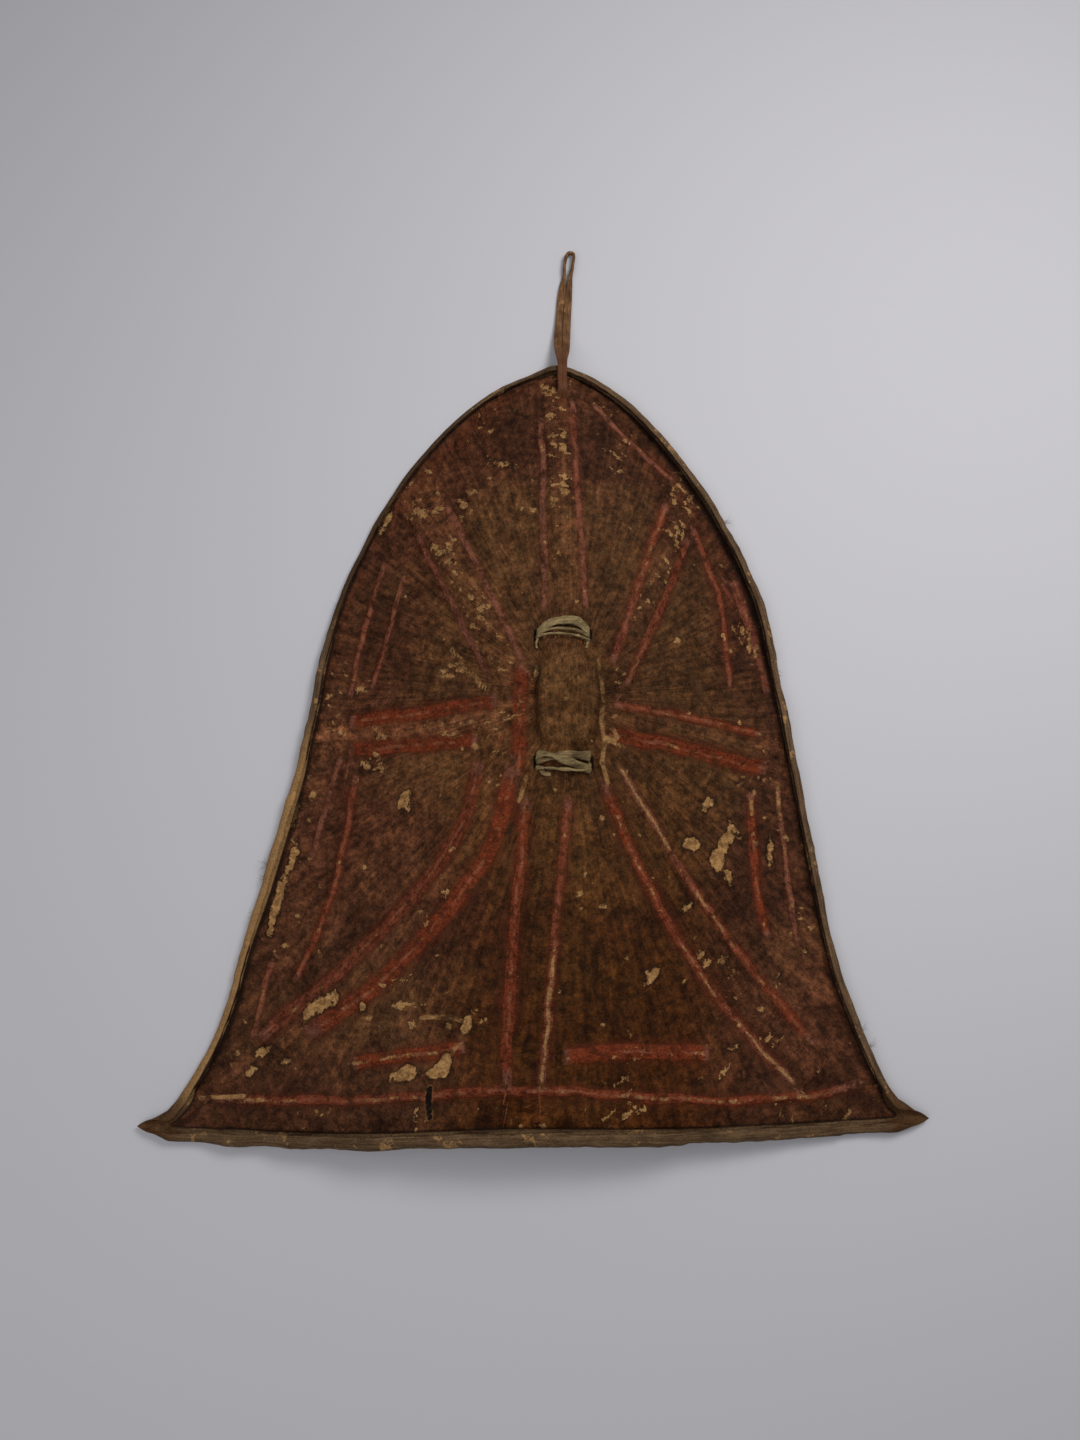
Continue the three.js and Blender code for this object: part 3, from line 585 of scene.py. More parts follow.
def curlSurface():
    # the curled margin at every station: an arc whose thickness thins toward the free edge,
    # mixed with a straight run at the ears, then offset to both faces and rounded at the edge
    share = np.linspace(0, 1, hide["curlSteps"] + 1)[None, :]
    wander = 1 + hide["rimWander"] * edgeRipples(60, 51) + 0.035 * edgeRipples(17, 52)
    radius = (edgeRim * (1 + (wander - 1) * (1 - edgeEar)))[:, None]
    ear, bottom = edgeEar[:, None], edgeBottom[:, None]
    edgeX = edgePoint[:, 0]
    overlap = (2.2 * smooth(-203, -206, edgeX) * smooth(-300, -240, edgeX) * edgeBottom)[:, None]
    sweep = np.radians(hide["curlSweep"] + 9 * edgeRipples(45, 53))[:, None]
    lip = hide["lipSide"] + (hide["lipBottom"] - hide["lipSide"]) * bottom + overlap
    lip = lip + (0.5 * edgeRipples(23, 54) + 0.3 * edgeRipples(8, 55))[:, None]
    angle = sweep * share
    away = (radius * np.sin(angle) - lip * smooth(0.7, 1, share)) * (1 - ear) + hide["earReach"] * share * ear
    rise = radius * (1 - np.cos(angle)) * (1 - ear) + hide["earRise"] * share**2 * ear
    tipHalf = hide["cuffHalf"] * (1 - ear) + hide["earTipHalf"] * ear
    half = hide["thickness"] / 2 * (1 - share) + tipHalf * share
    alongAway = np.gradient(away, axis=1)
    alongRise = np.gradient(rise, axis=1)
    length = np.hypot(alongAway, alongRise)
    tangent = np.stack([alongAway / length, alongRise / length])
    normal = np.stack([-tangent[1], tangent[0]])
    middle = np.stack([away, rise])
    front = middle + normal * half
    back = (middle - normal * half)[:, :, ::-1]
    turn = np.radians([40, 90, 140])
    tip = middle[:, :, -1:] + half[:, -1:] * (normal[:, :, -1:] * np.cos(turn) + tangent[:, :, -1:] * np.sin(turn))
    profile = np.concatenate([front, tip, back], axis=2)
    base = sheetHeight(edgeSpine[:, 0], edgeSpine[:, 1])[:, None]
    x = edgeSpine[:, :1] + edgeOut[:, :1] * profile[0]
    y = edgeSpine[:, 1:] + edgeOut[:, 1:] * profile[0]
    return x, y, np.maximum(base + profile[1], 0)


def gridFaces(rows, columns, closedColumns=False):
    # four-cornered faces of a grid whose rows close round on themselves
    i = np.arange(rows)[:, None]
    k = np.arange(columns if closedColumns else columns - 1)[None, :]
    j, m = (i + 1) % rows, (k + 1) % columns
    corners = i * columns + k, j * columns + k, j * columns + m, i * columns + m
    return np.stack(np.broadcast_arrays(*corners), -1).reshape(-1, 4)


def makePiece(name, points, faces):
    # a smooth-shaded mesh object at the origin, its points in drawing millimetres
    mesh = bpy.data.meshes.new(name)
    mesh.from_pydata(metres(points).tolist(), [], [list(face) for face in faces])
    shell = bmesh.new()
    shell.from_mesh(mesh)
    bmesh.ops.recalc_face_normals(shell, faces=shell.faces)
    shell.to_mesh(mesh)
    shell.free()
    mesh.validate()
    piece = bpy.data.objects.new(name, mesh)
    bpy.context.scene.collection.objects.link(piece)
    mesh.shade_smooth()
    return piece


def drawToLines(x, y, freedom):
    # gathers points toward the nearest line, by a share that dies away as a bell curve, so that
    # every raised line has several rows of points across it
    field = lineFields(x, y)
    share = gathering["pull"] * bell(field["gap"], gathering["spread"]) * freedom
    return x - share * field["offX"], y - share * field["offY"]


def spokes(span):
    # rings at even shares of the way from the hub to each station
    hubX, hubY = hide["hub"]
    rings = np.linspace(*span)[None, :]
    return rings, hubX + (edgeSpine[:, :1] - hubX) * rings, hubY + (edgeSpine[:, 1:] - hubY) * rings


def buildHide():
    # a spoke from the hub to each station, front face out, round the curl, back face in; every
    # station is in plain sight of the hub, so no two spokes cross
    hubX, hubY = hide["hub"]
    rings, x, y = spokes(hide["frontRings"])
    x, y = drawToLines(x, y, smooth(0.985, 0.93, rings))
    rimGap = (1 - rings) * np.hypot(edgeSpine[:, :1] - hubX, edgeSpine[:, 1:] - hubY)
    calm = smooth(0, 14, rimGap)
    crease = -hide["crease"] * bell(rimGap - 5, 3.5) * (0.55 + 0.45 * edgeRipples(90, 61))[:, None]
    z = sheetHeight(x, y) + halfUpright(x, y) + faceRelief(x, y) * calm + crease
    front = np.stack([x, y, z], -1)
    curl = np.stack(curlSurface(), -1)
    rings, x, y = spokes(hide["backRings"])
    rough = 0.5 * ripples(x, y, 60, 71) + 0.25 * ripples(x, y, 16, 72)
    z = np.maximum(sheetHeight(x, y) - halfUpright(x, y) + rough * smooth(0.985, 0.9, rings), 0)
    back = np.stack([x, y, z], -1)
    rows = np.concatenate([front, curl, back], axis=1)
    count, columns = rows.shape[:2]
    centre = np.array([hubX]), np.array([hubY])
    top = sheetHeight(*centre)[0] + hide["thickness"] / 2 + faceRelief(*centre)[0]
    low = sheetHeight(*centre)[0] - hide["thickness"] / 2
    points = np.vstack([rows.reshape(-1, 3), [[hubX, hubY, top], [hubX, hubY, low]]])
    i = np.arange(count)
    j = (i + 1) % count
    firstPole = np.column_stack([np.full(count, count * columns), j * columns, i * columns])
    lastPole = np.column_stack([np.full(count, count * columns + 1), (i + 1) * columns - 1, (j + 1) * columns - 1])
    faces = list(gridFaces(count, columns)) + list(firstPole) + list(lastPole)
    return makePiece("hide_shell", points, faces)


hidePiece = buildHide()
print("stage: hide shell,", len(hidePiece.data.polygons), "faces")


def spots(places, x, y):
    # for each place, its last value (1 where it has none) and a bell of its reach round its centre
    return [(rest[0] if rest else 1, bell(np.hypot(x - cx, y - cy), reach)) for cx, cy, reach, *rest in places]


def rimMarks(x, y):
    # signed distance inside the curl's spine and the run along it, in millimetres
    spineX, spineY = edgeSpine.T
    loop = np.column_stack([np.append(spineX, spineX[0]), np.append(spineY, spineY[0])])[::4]
    gap, side, share, _, _ = nearPath(loop, x, y)
    return gap * -side, share * hide["edgeLength"]


def markHide(piece):
    # everything the material needs to know of each point, as named rows of three values
    count = len(piece.data.vertices)
    co, normals = np.empty(count * 3), np.empty(count * 3)
    piece.data.vertices.foreach_get("co", co)
    piece.data.vertex_normals.foreach_get("vector", normals)
    isFront = np.where(normals[2::3] > 0, 1.0, 0.0)
    x, y, _ = millimetres(co.reshape(-1, 3)).T
    field = lineFields(x, y)
    rimGap, rimRun = rimMarks(x, y)
    bossX, bossY = hide["bossCentre"]
    onBoss = 1 - smooth(0.80, 1.05, bossReach(x, y))
    # how far toward the boss's sides, for the painted shade on its flanks, and how far from the thongs' slots, for
    # the painted shade in them
    flankShadeShare = smooth(0.62, 0.95, np.abs(x - bossX) / hide["bossHalf"][0])
    slotSide = np.abs(np.abs(x - gripX) - hide["slotSide"])
    slotGap = np.minimum(*[slotSide + np.maximum(np.abs(y - level) - 6, 0) for level in hide["slotLevels"]])
    # how olive the ground is: round the boss and at the lower left
    olive = smooth(230, 90, np.hypot(x - bossX, (y - bossY) * 0.75) + 30 * ripples(x, y, 120, 81))
    olive = np.maximum(olive, 0.75 * bell(np.hypot(x + 150, y - 100), 95))
    patches = np.maximum.reduce([amount * near for amount, near in spots(fleckZones, x, y)])
    sound = np.maximum.reduce([near for _, near in spots(soundZones, x, y)])
    flecks = np.maximum(field["flecks"] * smooth(0, 9, field["band"]), patches) * (1 - sound)
    # broad tone: the hide's own paler and darker places, with painted sheen at the left and toward the top
    tone = np.prod([1 + (level - 1) * near for level, near in spots(toneAndSheenZones, x, y)], axis=0)
    tone = tone * (1 + 0.12 * smooth(58, 14, rimGap) * smooth(60, 200, y))
    warmth = smooth(430, 60, y) * smooth(-120, -20, x) * smooth(210, 130, x)
    earShade = smooth(322, 345, np.abs(x)) * smooth(40, 20, y)
    smear = [each["strength"] * bell(nearPath(each["path"], x, y)[0], each["half"]) for each in smears]
    ends = smooth(0, 0.09, field["share"]) * smooth(1, 0.91, field["share"])
    # the margin: where it is pressed thin, where it is painted paler, partly its own tan and partly
    # painted light, how wide the painted shadow in the fold inside it is, and how far its plain colour
    # reaches in
    pressedRim = smooth(-40, -100, x) * smooth(440, 500, y)
    # the lower left margin made paler: partly its own tan, partly painted light where it lies in shade
    paleAndLitRim = smooth(-140, -190, x) * smooth(400, 330, y) * smooth(5, 30, y)
    # width of the painted shadow in the fold inside the curl: wider at the upper right and at the lower left
    foldShadowWidth = 2.0 + 5.0 * smooth(60, 160, x) * smooth(350, 480, y)
    foldShadowWidth = foldShadowWidth + 2.4 * smooth(-200, -240, x) * smooth(20, 50, y)
    leftShift = 0.6 * smooth(370, 320, y) * smooth(150, 220, y) * smooth(-60, -150, x)
    rimGap = rimGap - hide["hemShift"] * np.maximum(smooth(30, 12, y), leftShift)
    values = {
        "lines": (field["band"], field["stroke"], field["half"]),
        "paint": (field["red"] * ends, field["bare"], field["stain"]),
        "wear": (flakeDistance(x, y), flecks, np.maximum(olive, onBoss)),
        "edge": (rimGap, rimRun, isFront),
        "pale": (field["glow"], nearestOf(scars, x, y), np.maximum.reduce(smear)),
        "zone": (tone, warmth, earShade),
        "boss": (onBoss, smooth(-1, 4, field["band"]), slotGap),
        "reach": (field["strokeGap"], paleAndLitRim, nearPath(hemSplit, x, y)[0]),
        "margin": (pressedRim, foldShadowWidth, flankShadeShare),
    }
    for name, columns in values.items():
        layer = piece.data.attributes.new(name, "FLOAT_VECTOR", "POINT")
        layer.data.foreach_set("vector", np.column_stack(columns).astype(np.float32).ravel())


markHide(hidePiece)
print("stage: paint and wear marked")


class Graph:
    # short ways to add nodes to one tree; a value is a socket, a number or a colour
    def __init__(self, tree):
        self.tree = tree

    def put(self, socket, value):
        if isinstance(value, bpy.types.NodeSocket):
            self.tree.links.new(value, socket)
        elif isinstance(value, tuple) and len(value) == 3 and len(socket.default_value) == 4:
            socket.default_value = (*value, 1)
        else:
            socket.default_value = value

    def node(self, kind, inputs=None, **settings):
        made = self.tree.nodes.new(kind)
        for key, value in settings.items():
            setattr(made, key, value)
        for key, value in (inputs or {}).items():
            self.put(made.inputs[key], value)
        return made

    def math(self, operation, *values):
        made = self.node("ShaderNodeMath", operation=operation)
        for socket, value in zip(made.inputs, values):
            self.put(socket, value)
        return made.outputs[0]

    def step(self, value, start, end, low=0.0, high=1.0):
        # an eased ramp from low at start to high at end
        if start > end:
            start, end, low, high = end, start, high, low
        made = self.node("ShaderNodeMapRange", {"Value": value, "From Min": start, "From Max": end,
                         "To Min": low, "To Max": high}, interpolation_type="SMOOTHSTEP")
        return made.outputs["Result"]

    def mix(self, factor, a, b, blend="MIX"):
        made = self.node("ShaderNodeMix", data_type="RGBA", blend_type=blend)
        self.put(made.inputs[0], factor)
        self.put(made.inputs[6], a)
        self.put(made.inputs[7], b)
        return made.outputs[2]

    def noise(self, vector, scale, detail=3.0, roughness=0.55, distortion=0.0):
        made = self.node("ShaderNodeTexNoise", {"Vector": vector, "Scale": scale, "Detail": detail,
                         "Roughness": roughness, "Distortion": distortion})
        return made.outputs["Fac"]

    def parts(self, vector):
        made = self.node("ShaderNodeSeparateXYZ", {"Vector": vector})
        return made.outputs[0], made.outputs[1], made.outputs[2]

    def join(self, x, y, z):
        made = self.node("ShaderNodeCombineXYZ")
        for socket, value in zip(made.inputs, (x, y, z)):
            self.put(socket, value)
        return made.outputs[0]

    def stretch(self, vector, scale):
        return self.node("ShaderNodeMapping", {"Vector": vector, "Scale": scale}).outputs[0]

    def vector(self, operation, *values, output="Vector"):
        made = self.node("ShaderNodeVectorMath", dict(enumerate(values)), operation=operation)
        return made.outputs[output]

    def fold(self, operation, values):
        # one operation carried along several values from the left
        result = values[0]
        for value in values[1:]:
            result = self.math(operation, result, value)
        return result

    def add(self, *values):
        return self.fold("ADD", values)

    def product(self, *values):
        return self.fold("MULTIPLY", values)

    def highest(self, *values):
        return self.fold("MAXIMUM", values)

    def scaled(self, value, factor, offset=0.0):
        return self.math("MULTIPLY_ADD", value, factor, offset)

    def centred(self, noise, span):
        # noise moved to lie on both sides of zero: (noise - 0.5) times the span
        return self.scaled(self.math("SUBTRACT", noise, 0.5), span)

    def clamped(self, value):
        return self.math("MINIMUM", self.highest(value, 0.0), 1.0)

    def shaded(self, colour, tone):
        # a colour times a plain tone
        return self.mix(1.0, colour, self.join(tone, tone, tone), "MULTIPLY")

    def attribute(self, name):
        return self.parts(self.node("ShaderNodeAttribute", attribute_name=name).outputs["Vector"])


def newGroup(name, inputs, outputs):
    # a node group with named sockets: inputs and outputs are (name, socket type, value) rows
    tree = bpy.data.node_groups.new(name, "ShaderNodeTree")
    for title, kind, value in inputs:
        socket = tree.interface.new_socket(title, in_out="INPUT", socket_type=kind)
        if value is not None:
            socket.default_value = value
    for title, kind in outputs:
        tree.interface.new_socket(title, in_out="OUTPUT", socket_type=kind)
    graph = Graph(tree)
    return graph, tree.nodes.new("NodeGroupInput").outputs, tree.nodes.new("NodeGroupOutput").inputs


def buildGrainGroup():
    # pores and creases of a hide: cells of two sizes and fine noise, as a height and a tone near 1
    graph, given, out = newGroup(
        "hideGrain",
        [("Vector", "NodeSocketVector", None), ("Pore Scale", "NodeSocketFloat", 420.0),
         ("Depth", "NodeSocketFloat", 1.0)],
        [("Height", "NodeSocketFloat"), ("Tone", "NodeSocketFloat")],
    )
    cells = graph.node("ShaderNodeTexVoronoi", {"Vector": given["Vector"], "Scale": given["Pore Scale"]},
                       feature="F1")
    fine = graph.noise(given["Vector"], graph.product(given["Pore Scale"], 1.7), 4, 0.6)
    broad = graph.noise(given["Vector"], graph.product(given["Pore Scale"], 0.22), 3, 0.6)
    pores = graph.step(cells.outputs["Distance"], 0.0, 0.75)
    height = graph.add(graph.product(pores, 0.45), graph.product(fine, 0.8))
    height = graph.add(height, graph.product(broad, 0.9))
    tree = graph.tree
    tree.links.new(graph.product(height, given["Depth"]), out["Height"])
    tone = graph.scaled(graph.math("SUBTRACT", height, 1.05), 0.75, 1.0)
    tree.links.new(tone, out["Tone"])
    return tree


def buildWearGroup():
    # scuffed high spots: noise cut off above a level that falls as Amount rises
    graph, given, out = newGroup(
        "scuffs",
        [("Vector", "NodeSocketVector", None), ("Scale", "NodeSocketFloat", 60.0),
         ("Amount", "NodeSocketFloat", 0.5)],
        [("Mask", "NodeSocketFloat")],
    )
    broad = graph.noise(given["Vector"], given["Scale"], 2, 0.5, 0.4)
    fine = graph.noise(given["Vector"], graph.product(given["Scale"], 5.3), 4, 0.65)
    both = graph.add(graph.product(broad, 0.55), graph.product(fine, 0.45))
    level = graph.scaled(given["Amount"], -0.28, 0.74)
    over = graph.math("DIVIDE", graph.math("SUBTRACT", both, level), 0.035)
    graph.tree.links.new(graph.clamped(over), out["Mask"])
    return graph.tree


grainGroup = buildGrainGroup()
wearGroup = buildWearGroup()


def useGroup(graph, tree, inputs):
    made = graph.node("ShaderNodeGroup", node_tree=tree)
    for key, value in inputs.items():
        graph.put(made.inputs[key], value)
    return made.outputs


def newMaterial(name):
    material = bpy.data.materials.new(name)
    material.use_nodes = True
    material.node_tree.nodes.clear()
    graph = Graph(material.node_tree)
    shader = graph.node("ShaderNodeBsdfPrincipled")
    output = graph.node("ShaderNodeOutputMaterial")
    material.node_tree.links.new(shader.outputs[0], output.inputs["Surface"])
    place = graph.node("ShaderNodeTexCoord").outputs["Object"]
    return material, graph, shader, place


hidePaint = {
    "olive": (0.058, 0.024, 0.0085),
    "purple": (0.040, 0.0138, 0.0060),
    "bossBrown": (0.092, 0.040, 0.014),
    "stain": (0.042, 0.0112, 0.0044),
    "bandPale": (0.125, 0.046, 0.019),
    "glaze": (0.090, 0.048, 0.021),
    "bleed": (0.070, 0.0125, 0.0045),
    "red": (0.136, 0.0255, 0.0085),
    "mauve": (0.126, 0.045, 0.028),
    "smear": (0.092, 0.022, 0.008),
    # painted highlight along the crests of the raised lines
    "highlightPink": (0.215, 0.076, 0.038),
    "bareHide": (0.330, 0.180, 0.068),
    "oldHide": (0.160, 0.078, 0.028),
    "margin": (0.125, 0.074, 0.037),
    "marginDark": (0.046, 0.025, 0.012),
    # near black: painted shade, for the shadow in the fold inside the curl, in the thongs' slots, in the hem's split
    # and on the boss's flanks; it also rings each flaked place
    "crease": (0.008, 0.0042, 0.0026),
    "underside": (0.17, 0.095, 0.043),
    "undersideDark": (0.08, 0.038, 0.017),
}


def paintedHide():
    material, graph, shader, place = newMaterial("paintedHide")
    tint = hidePaint
    band, stroke, half = graph.attribute("lines")
    red, bare, stain = graph.attribute("paint")
    flake, fleckShare, oliveShare = graph.attribute("wear")
    rimGap, rimRun, isFront = graph.attribute("edge")
    onBoss, inBand, slotGap = graph.attribute("boss")
    pressedRim, foldShadowWidth, flankShadeShare = graph.attribute("margin")
    glow, scarGap, smear = graph.attribute("pale")
    toneAndSheen, warmth, earShade = graph.attribute("zone")
    strokeGap, paleAndLitRim, splitGap = graph.attribute("reach")

    add, scaled, product, highest = graph.add, graph.scaled, graph.product, graph.highest
    step, mix, noise, centred, shaded = graph.step, graph.mix, graph.noise, graph.centred, graph.shaded

    # coordinates turned round the boss: one set draws noise out across the ribs, one along them
    centre = metres([(*hide["bossCentre"], 0)])[0]
    around = graph.vector("SUBTRACT", place, (centre[0], centre[1], 0))
    px, py, _ = graph.parts(around)
    flat = graph.join(px, py, 0.0)
    reach = graph.vector("LENGTH", flat, output="Value")
    heading = graph.vector("NORMALIZE", flat)
    hx, hy, _ = graph.parts(heading)
    across = graph.join(scaled(hx, 0.14), scaled(hy, 0.14), add(reach, scaled(px, 0.45)))
    alongRibs = graph.join(scaled(hx, 0.5), scaled(hy, 0.5), scaled(reach, 0.25))

    broad = noise(place, 9, 3, 0.55)
    middling = noise(place, 34, 4, 0.6)
    mottle = noise(place, 150, 4, 0.7)
    streaks = noise(alongRibs, 84, 5, 0.66)
    fine = noise(place, 420, 3, 0.7)

    # ground colour
    olive = add(scaled(oliveShare, 0.75), scaled(broad, 1.4, -0.65))
    ground = mix(step(add(olive, scaled(streaks, 0.7, -0.35)), 0.0, 0.9), tint["purple"], tint["olive"])
    paleBand = product(inBand, glow, step(noise(place, 55, 4, 0.65), 0.30, 0.62))
    ground = mix(scaled(paleBand, 0.8), ground, tint["bandPale"])
    ground = mix(product(onBoss, 0.9), ground, tint["bossBrown"])
    ground = shaded(ground, step(middling, 0.30, 0.70, 0.68, 1.30))
    ground = shaded(ground, step(streaks, 0.32, 0.68, 0.66, 1.36))
    ground = shaded(ground, step(mottle, 0.34, 0.66, 0.58, 1.50))
    ground = shaded(ground, step(noise(place, 80, 5, 0.75), 0.36, 0.64, 0.72, 1.30))
    glaze = product(step(noise(place, 95, 4, 0.7, 0.6), 0.50, 0.72), step(olive, -0.1, 0.7))
    ground = mix(scaled(glaze, 0.42), ground, tint["glaze"])
    # broad tone, partly the hide's own and partly painted sheen at the left and toward the top, and a
    # yellower brown toward the hem
    toneAndSheen = add(toneAndSheen, centred(broad, 0.5))
    tinted = graph.join(toneAndSheen, product(toneAndSheen, scaled(warmth, -0.16, 1.0)),
                        product(toneAndSheen, scaled(warmth, -0.60, 1.0)))
    ground = mix(1.0, ground, tinted, "MULTIPLY")
    smearMask = product(smear, step(add(scaled(streaks, 0.5), scaled(mottle, 0.5)), 0.38, 0.62))
    ground = mix(smearMask, ground, tint["smear"])

    # stain and paint of the lines, and a painted highlight along their crests
    wobble = centred(noise(place, 120, 4, 0.65), 5.0)
    drift = centred(middling, 5.0)
    stainMask = product(stain, step(add(scaled(mottle, 0.7), scaled(middling, 0.9)), 0.60, 1.00, 0.2, 1.25))
    colour = mix(step(stainMask, 0.15, 0.85, 0.0, 0.62), ground, tint["stain"])
    wander = centred(noise(place, 27, 2, 0.5), 7.5)
    # the plain distance less the most a line can wander keeps the sign change half way between two
    # strokes from reading as a line
    strokeReach = highest(graph.math("ABSOLUTE", add(stroke, wander)), scaled(strokeGap, 1.0, -4.5))
    gap = graph.math("MINIMUM", graph.math("ABSOLUTE", add(band, wander)), strokeReach)
    flow = graph.math("DIVIDE", add(gap, scaled(wobble, 1.3), drift), half)
    bleed = product(step(flow, 2.1, 0.7), red, step(noise(place, 45, 4, 0.65), 0.34, 0.60))
    colour = mix(scaled(bleed, 0.85), colour, tint["bleed"])
    core = graph.math("DIVIDE", add(gap, scaled(wobble, 0.55)), half)
    patchy = step(add(scaled(noise(place, 75, 4, 0.7), 0.6), scaled(mottle, 0.4)), 0.38, 0.56, 0.1, 1.0)
    lineColour = mix(step(red, 0.40, 0.88), tint["mauve"], tint["red"])
    lineColour = shaded(lineColour, step(fine, 0.3, 0.7, 0.72, 1.3))
    redMask = product(step(core, 1.12, 0.78), patchy, step(red, 0.0, 0.3))
    colour = mix(scaled(redMask, 0.92), colour, lineColour)
    crestGap = graph.math("ABSOLUTE", add(gap, scaled(wobble, 0.45), scaled(drift, 0.5)))
    # painted highlight: a broken pink line along the crest of each raised line
    crest = product(step(crestGap, 2.5, 0.5), step(noise(place, 62, 4, 0.7), 0.44, 0.60), step(red, 0.0, 0.3))
    colour = mix(scaled(crest, 0.62), colour, tint["highlightPink"])
    worn = add(noise(place, 58, 4, 0.68), scaled(bare, 0.34, -0.17))
    rubbed = product(step(crestGap, 2.3, 0.7), step(worn, 0.52, 0.60), step(red, 0.02, 0.2))
    colour = mix(scaled(rubbed, 0.85), colour, mix(step(fine, 0.35, 0.65), tint["oldHide"], tint["bareHide"]))

    # flecks across the ribs and along the margin, chips, and flaked places
    cluster = noise(place, 24, 3, 0.6)
    jitterNoise = {"Vector": place, "Scale": 170, "Detail": 4, "Roughness": 0.7}
    jitter = graph.node("ShaderNodeTexNoise", jitterNoise).outputs["Color"]
    jitter = graph.vector("SUBTRACT", jitter, (0.5, 0.5, 0.5))

    def blobs(vector, scale, share, size, bend):
        # ragged spots: cells whose random tone passes a level keep a spot that grows with it
        bent = graph.vector("MULTIPLY_ADD", jitter, (bend, bend, bend), vector)
        cells = graph.node("ShaderNodeTexVoronoi", {"Vector": bent, "Scale": scale}, feature="F1")
        pick = graph.math("SUBTRACT", add(graph.parts(cells.outputs["Color"])[0], share), 1.0)
        grown = product(graph.clamped(product(pick, 4.0)), size)
        return step(graph.math("SUBTRACT", grown, cells.outputs["Distance"]), -0.03, 0.12)

    clumps = step(cluster, 0.42, 0.66)
    flecks = blobs(across, 150, product(fleckShare, scaled(clumps, 0.62, 0.42)), 0.55, 0.016)
    marginPlace = graph.join(add(scaled(rimRun, 0.17), scaled(rimGap, 0.05)), scaled(rimGap, 0.08), 0.0)
    marginNoise = add(noise(marginPlace, 1.0, 3, 0.6), scaled(cluster, 0.5, -0.27))
    margin = product(step(marginNoise, 0.63, 0.72), step(rimGap, 34, 18), step(pressedRim, 0.9, 0.3, 0.3, 1.0))
    chips = blobs(place, 92, scaled(highest(clumps, scaled(fleckShare, 0.8)), 0.22, 0.09), 0.36, 0.012)
    speckle = highest(flecks, margin, chips)
    scar = product(step(add(scarGap, scaled(wobble, 1.0)), 2.9, 1.2),
                   step(noise(place, 60, 4, 0.65), 0.38, 0.58, 0.05, 1.0))
    speckle = highest(speckle, scar)
    fleckColour = mix(step(add(scaled(fine, 0.5), scaled(middling, 0.5)), 0.37, 0.57),
                            tint["oldHide"], tint["bareHide"])
    colour = mix(scaled(speckle, 0.86), colour, fleckColour)
    raggedA = centred(noise(place, 62, 3, 0.6), 13.0)
    raggedB = centred(noise(place, 210, 4, 0.7), 7.0)
    torn = add(flake, add(raggedA, raggedB))
    flaked = step(torn, 0.5, -0.6)
    colour = mix(product(step(torn, 3.2, 0.6), 0.55), colour, tint["crease"])
    colour = mix(flaked, colour, mix(step(mottle, 0.38, 0.62), tint["oldHide"], tint["bareHide"]))

    # the boss: painted shade on its left and right flanks, and upright fibres; painted shade in the slots
    fibres = noise(graph.stretch(place, (520, 45, 200)), 1.0, 4, 0.65)
    colour = mix(product(onBoss, step(fibres, 0.48, 0.68), 0.5), colour, tint["oldHide"])
    colour = mix(product(onBoss, step(fibres, 0.48, 0.30), 0.55), colour, tint["purple"])
    flankShade = product(step(onBoss, 0.0, 0.25), step(onBoss, 0.98, 0.55), flankShadeShare)
    colour = mix(scaled(flankShade, 0.32), colour, tint["crease"])
    colour = mix(step(slotGap, 2.6, 0.8), colour, tint["crease"])
    splitEdge = add(splitGap, scaled(wobble, 0.5))
    colour = mix(product(step(splitEdge, 4.6, 3.0), patchy, 0.6), colour, tint["oldHide"])
    # painted shade: near black inside the split
    colour = mix(step(splitEdge, 3.2, 2.2), colour, tint["crease"])

    # the curled margin, the painted shadow in the fold inside it, and the plain underside
    rimStreaks = noise(graph.join(scaled(rimRun, 0.025), scaled(rimGap, 0.55), 0.0), 1.0, 5, 0.7)
    rimColour = mix(step(add(scaled(rimStreaks, 0.7), scaled(middling, 0.3)), 0.36, 0.62), tint["marginDark"],
                    tint["margin"])
    rimScuff = useGroup(graph, wearGroup, {"Vector": place, "Scale": 42.0, "Amount": 0.60})["Mask"]
    rimColour = mix(scaled(rimScuff, 0.6), rimColour, tint["bareHide"])
    rimColour = mix(scaled(pressedRim, 0.85), rimColour, tint["marginDark"])
    # partly the margin's own tan, partly painted light: the lower left margin paler
    rimColour = mix(scaled(paleAndLitRim, 0.62), rimColour, tint["bareHide"])
    rimColour = mix(scaled(earShade, 0.75), rimColour, tint["olive"])
    # painted shadow: near black in the fold just inside the curl
    fold = graph.math("DIVIDE", add(rimGap, scaled(wobble, 0.5)), foldShadowWidth)
    colour = mix(scaled(step(fold, 1.8, 0.5), 0.82), colour, tint["crease"])
    colour = mix(step(rimGap, 0.8, -0.6), colour, rimColour)
    under = mix(step(add(broad, scaled(middling, 0.5)), 0.55, 0.95), tint["undersideDark"], tint["underside"])
    under = shaded(under, step(mottle, 0.34, 0.66, 0.72, 1.3))
    isBack = product(step(isFront, 0.6, 0.4), step(rimGap, -1.0, 1.5))
    colour = mix(isBack, colour, under)

